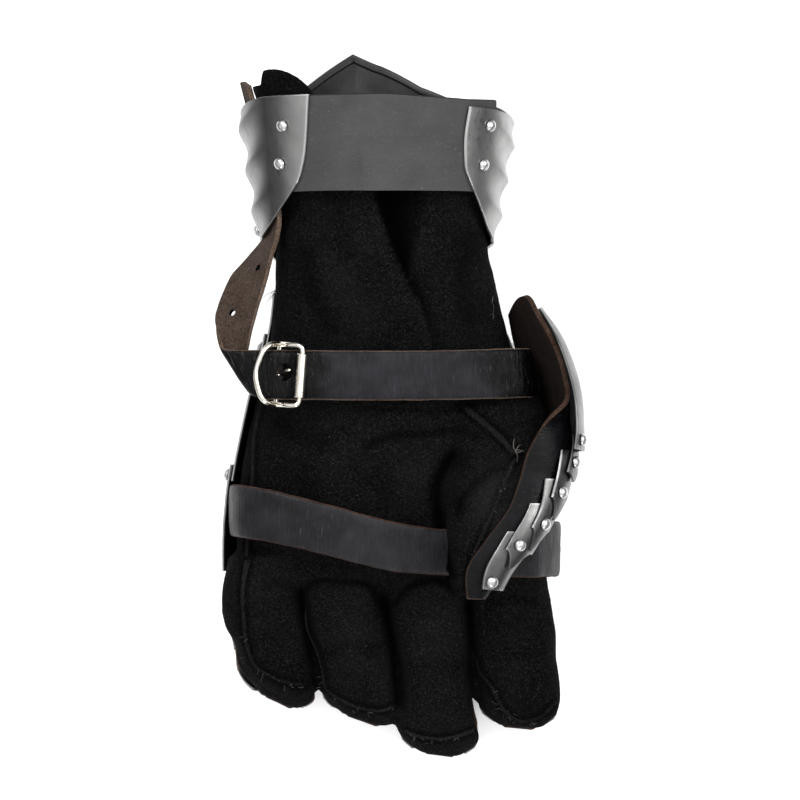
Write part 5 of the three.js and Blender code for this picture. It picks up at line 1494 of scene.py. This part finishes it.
def painted_shade_and_light(c, nz):
    """Painted shade and light on the nap: 0 to 1 is painted shade in creases, folds and beside seams, below 0 is
    painted light on swellings and lit faces.
    """
    xy = c[:, :2]
    dark = np.zeros(len(c))
    # each fold: painted shade along its groove and painted light on the swelling beside it
    for line, depth, width, lift, reach in FOLDS:
        r, side, pos = near_line(xy, spline_xy(line))
        ends = smooth(pos / 0.1) * smooth((1 - pos) / 0.1)
        dark = np.maximum(dark, min(0.9, depth / 3.2) * np.exp(-(r / (width * 1.15)) ** 2) * ends)
        if lift:
            dark -= 0.35 * np.exp(-((r - 3.4) / 2.4) ** 2) * (side * reach > 0) * ends
    r, side, pos = near_line(xy, spline_xy(V_EDGE))
    r2, side2, pos2 = near_line(xy, spline_xy(V_FAR))
    right = side > 0
    between = right & (side2 < 0) & (xy[:, 1] > 50)
    share = r / np.maximum(r + r2, 0.1)
    # painted shade in the deep fold at the wrist
    fold_painted_shading = np.where(between, 1 - share ** 3, np.exp(-(r / 4.0) ** 1.4) * (xy[:, 1] <= 58)) * right
    fold_painted_shading = fold_painted_shading * np.interp(xy[:, 1], [12, 24, 40, 60, 110], [0, 0.4, 0.75, 0.95, 0.95])
    dark = np.maximum(dark, 0.93 * fold_painted_shading)
    # painted highlight along the lip of the left panel
    dark -= 0.45 * np.exp(-((r - 1.6) / 2.0) ** 2) * (~right) * smooth((xy[:, 1] - 20) / 20)
    # painted shade in a line beside each seam
    for i, (line, radius, sunk) in enumerate(SEAMS):
        r, side, pos = near_line(xy, spline_xy(line))
        dark = np.maximum(dark, (0.75 if i == 0 else 0.6) * np.exp(-((r - radius - 0.7) / 0.9) ** 2))
    # soft patches: painted shade where k is below 0, painted light where it is above
    for x, y, rx, ry, k in ((26, -24, 5, 5, -0.45), (23.5, -38, 3, 6, -0.4), (38, -40, 7, 12, 0.75), (45, -30, 5, 6, 0.5), (12, -28, 16, 10, 0.25), (-20, -98, 9, 16, 0.3), (14, -96, 9, 14, 0.2), (-26, 60, 14, 26, 0.15), (48, -102, 8, 16, 0.2)):
        dark -= k * np.exp(-(((xy[:, 0] - x) / rx) ** 2 + ((xy[:, 1] - y) / ry) ** 2))
    return np.clip(dark, -1, 1) * smooth((c[:, 2] - 24) / 10)


def spline_xy(line):
    return spline([(x, y, 0) for x, y in line], 24)[:, :2]


shape_glove()
m = glove.modifiers.new("relax", "SMOOTH")
m.factor, m.iterations = 0.3, 1
bake(glove)


def open_mouth():
    """Cuts the closed end off along the rim: the mesh is moved so that the rim is flat, cut by a plane and moved back."""
    cx, cz, hw, hh, n = -8.5, 48.5, 49.5, 34.5, 2.6

    def shift_at(c):
        x, z = (c[:, 0] - cx) / hw, (c[:, 2] - cz) / hh
        a = np.degrees(np.arctan2(sgnpow(z, n / 2), sgnpow(x, n / 2)))
        rough = 0.35 * fbm(np.stack([a / 12, a * 0, a * 0], 1), 1.0, 2, 6)
        return rim_at(a) - MOUTH - 0.6 + rough

    c = get_co(glove)
    c[:, 1] -= shift_at(c)
    set_co(glove, c)
    bm = bmesh.new()
    bm.from_mesh(glove.data)
    bm.verts.ensure_lookup_table()
    r = (np.abs((c[:, 0] - cx) / hw) ** n + np.abs((c[:, 2] - cz) / hh) ** n) ** (1 / n)
    bmesh.ops.delete(bm, geom=[bm.verts[i] for i in np.nonzero((r < 0.86) & (c[:, 1] > 112))[0]], context="VERTS")
    geom = bm.verts[:] + bm.edges[:] + bm.faces[:]
    plane = ((0 + SHIFT[0]) * MM, (MOUTH + SHIFT[1]) * MM, 0)
    bmesh.ops.bisect_plane(bm, geom=geom, dist=1e-6, plane_co=plane, plane_no=(0, 1, 0), clear_outer=True)
    bmesh.ops.remove_doubles(bm, verts=bm.verts, dist=0.25 * MM)
    bm.to_mesh(glove.data)
    bm.free()
    c = get_co(glove)
    c[:, 1] += shift_at(c)
    set_co(glove, c)


open_mouth()
m = glove.modifiers.new("wall", "SOLIDIFY")
m.thickness, m.offset = SUEDE * MM, -1.0
m.use_even_offset = False
m.material_offset, m.material_offset_rim = 1, 2
bake(glove)
glove.data.polygons.foreach_set("use_smooth", np.ones(len(glove.data.polygons), bool))
glove.data.update()
# painted shade and light on the suede, written onto the glove's vertices
nap_and_painted_shading = glove.data.attributes.new("painted_shading_and_darkening", "FLOAT", "POINT")
nap_and_painted_shading.data.foreach_set("value", painted_shade_and_light(get_co(glove), None).astype(np.float32))
stands_for(glove, "glove_suede", "glove")

dg = bpy.context.evaluated_depsgraph_get()
skin = BVHTree.FromObject(glove, dg)


def drape(line, n, lift=0.0, from_z=150.0):
    """Points along an xy line laid on the palm side of the glove."""
    q = spline([(x, y, 0) for x, y in line], n)
    out, nor = [], []
    for x, y, _ in q:
        hit = skin.ray_cast(Vector(((x + SHIFT[0]) * MM, (y + SHIFT[1]) * MM, from_z * MM)), Vector((0, 0, -1)))
        if hit[0] is None:
            continue
        p = np.array(hit[0]) / MM - SHIFT
        nn = np.array(hit[1])
        out.append(p + nn * lift)
        nor.append(nn)
    return np.array(out), np.array(nor)


def relax(points, times):
    p = points.copy()
    for _ in range(times):
        p[1:-1] = (p[:-2] + 2 * p[1:-1] + p[2:]) / 4
    return p


parts = []
for i, (line, r, sunk) in enumerate(SEAMS):
    p, _ = drape(line, 90, -sunk)
    if len(p) > 8:
        keep = np.concatenate([[True], np.abs(np.diff(p[:, 2])) < 2.5])
        p = relax(p[keep], 8)
        k = np.linspace(0, 1, len(p))
        wob = 1 + 0.16 * fbm(p, 3.2, 2, i + 1.0)
        parts.append(sweep(p, r * wob * np.clip(np.minimum(k, 1 - k) * 12 + 0.3, 0.3, 1), 10))
v, f = merge(parts)
o = to_object("glove_seams", v, f, [SEAM_M])
outward(o)
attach(o, "root")

# loose ends: threads at the wrist, a knot at the end of the palm seam, ragged fibres at the finger tips
rng = np.random.default_rng(11)
parts = []


def strand(p, heading, length, r, curl=0.6, rise=0.5):
    """A short hair from p, lying along heading (radians) and curling a little."""
    q = [np.array(p, float)]
    a = heading
    for k in range(6):
        a += curl * rng.normal() * 0.45
        q.append(q[-1] + np.array([math.cos(a), math.sin(a), rise * (0.6 - k / 6)]) * length / 6)
    parts.append(sweep(np.array(q), r * np.array([0.9, 1, 1, 1, 0.9, 0.8, 0.5]), 5))


def fuzz(line, count, reach, length, r, spread=math.pi, heading=0.0):
    p, nor = drape(line, 120, 0.05)
    for k in range(count):
        i = int(rng.integers(0, len(p)))
        q = p[i] + nor[i] * 0.1 + np.array([rng.normal() * reach, rng.normal() * reach, 0.1])
        strand(q, heading + rng.uniform(-spread, spread), length * rng.uniform(0.5, 1.3), r * rng.uniform(0.7, 1.2))


for line, r, sunk in SEAMS[3:]:
    fuzz(line[-6:], 20, 1.1, 2.2, 0.07)
for heading, length in ((2.3, 6.0), (1.6, 4.5), (0.1, 6.5), (0.5, 4.0), (-0.6, 3.5)):
    p, _ = drape([(48.0, -18.6), (48.6, -19.4)], 3, 1.0)
    strand(p[1], heading, length, 0.22, 1.1, 0.25)
fuzz([(-52, 50), (-56, 40), (-56.5, 27)], 9, 0.8, 5.5, 0.12, 0.8, -1.6)
fuzz([(38.6, 46), (39.4, 38)], 4, 0.4, 5.0, 0.11, 0.5, -1.6)
fuzz(SEAMS[2][0], 16, 0.6, 1.8, 0.06)
v, f = merge(parts)
o = to_object("glove_threads", v, f, [THREAD_M])
outward(o)
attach(o, "root")

# ---------------------------------------------------------------- floor, light, camera


def floor():
    me = bpy.data.meshes.new("floor")
    s = 30.0
    me.from_pydata([(-s, -s, 0), (s, -s, 0), (s, s, 0), (-s, s, 0)], [], [(0, 1, 2, 3)])
    o = bpy.data.objects.new("floor", me)
    bpy.context.scene.collection.objects.link(o)
    s = Nodes("floor_paper")
    co = s.coord()
    tone = s.mix(s.remap(s.noise(co, 6, 3), 0.3, 0.7, 0, 1), (0.90, 0.90, 0.90), (0.93, 0.93, 0.93))
    away = s.n("VectorMath")
    away.operation = "ABSOLUTE"
    s.put(away.inputs[0], co)
    xyz = s.n("SeparateXYZ")
    s.put(xyz.inputs[0], away.outputs["Vector"])
    reach = s.math("MAXIMUM", xyz.outputs["X"], xyz.outputs["Y"])
    tone = s.mix(s.remap(reach, 0.185, 0.25, 0, 1), tone, (0.22, 0.22, 0.22))
    glow = s.mix(s.remap(reach, 0.185, 0.25, 0, 1), (0.26, 0.26, 0.26), (0.0, 0.0, 0.0))
    me.materials.append(s.finish(Base_Color=tone, Roughness=0.9, Emission_Color=glow, Emission_Strength=1.0))


floor()
scene = bpy.context.scene
world = bpy.data.worlds.new("studio")
scene.world = world
world.use_nodes = True
nt = world.node_tree
bg = nt.nodes["Background"]
tc, sep, ramp = nt.nodes.new("ShaderNodeTexCoord"), nt.nodes.new("ShaderNodeSeparateXYZ"), nt.nodes.new("ShaderNodeValToRGB")
nt.links.new(tc.outputs["Generated"], sep.inputs[0])
nt.links.new(sep.outputs["Z"], ramp.inputs["Fac"])
stops = [(0.0, 0.10), (0.20, 0.10), (0.40, 1.05), (0.6, 1.05), (1.0, 0.85)]
while len(ramp.color_ramp.elements) < len(stops):
    ramp.color_ramp.elements.new(0.5)
for e, (at_z, c) in zip(ramp.color_ramp.elements, stops):
    e.position, e.color = at_z, (c, c, c, 1)
nt.links.new(ramp.outputs["Color"], bg.inputs["Color"])
bg.inputs["Strength"].default_value = 0.95


def area(name, at_, to, size, power, size_y=None):
    L = bpy.data.lights.new(name, "AREA")
    L.energy = power
    L.size = size
    if size_y:
        L.shape, L.size_y = "RECTANGLE", size_y
    o = bpy.data.objects.new(name, L)
    o.location = at_
    o.rotation_euler = (Vector(to) - Vector(at_)).to_track_quat("-Z", "Y").to_euler()
    scene.collection.objects.link(o)


area("key", (-0.45, 0.75, 1.15), (0, 0, 0.04), 0.45, 12)
area("fill", (0.75, 0.25, 0.75), (0, 0, 0.06), 0.5, 5.2)
area("rim", (0.05, -1.1, 0.55), (0, 0, 0.06), 0.35, 5)
area("top", (0.0, -0.1, 1.6), (0, 0, 0.0), 1.1, 6)

cam = bpy.data.cameras.new("camera")
cam.lens, cam.sensor_width = 1285.7, 36.0
cam.clip_start, cam.clip_end = 5.0, 40
co = bpy.data.objects.new("camera", cam)
co.location = ((0.0 + SHIFT[0]) * MM, (0.0 + 3.0 + SHIFT[1]) * MM, 0.060 + 12.0)
co.rotation_euler = (0, 0, 0)
scene.collection.objects.link(co)
scene.camera = co
scene.view_settings.view_transform = "Standard"
scene.view_settings.look = "None"
scene.view_settings.exposure = 0.0
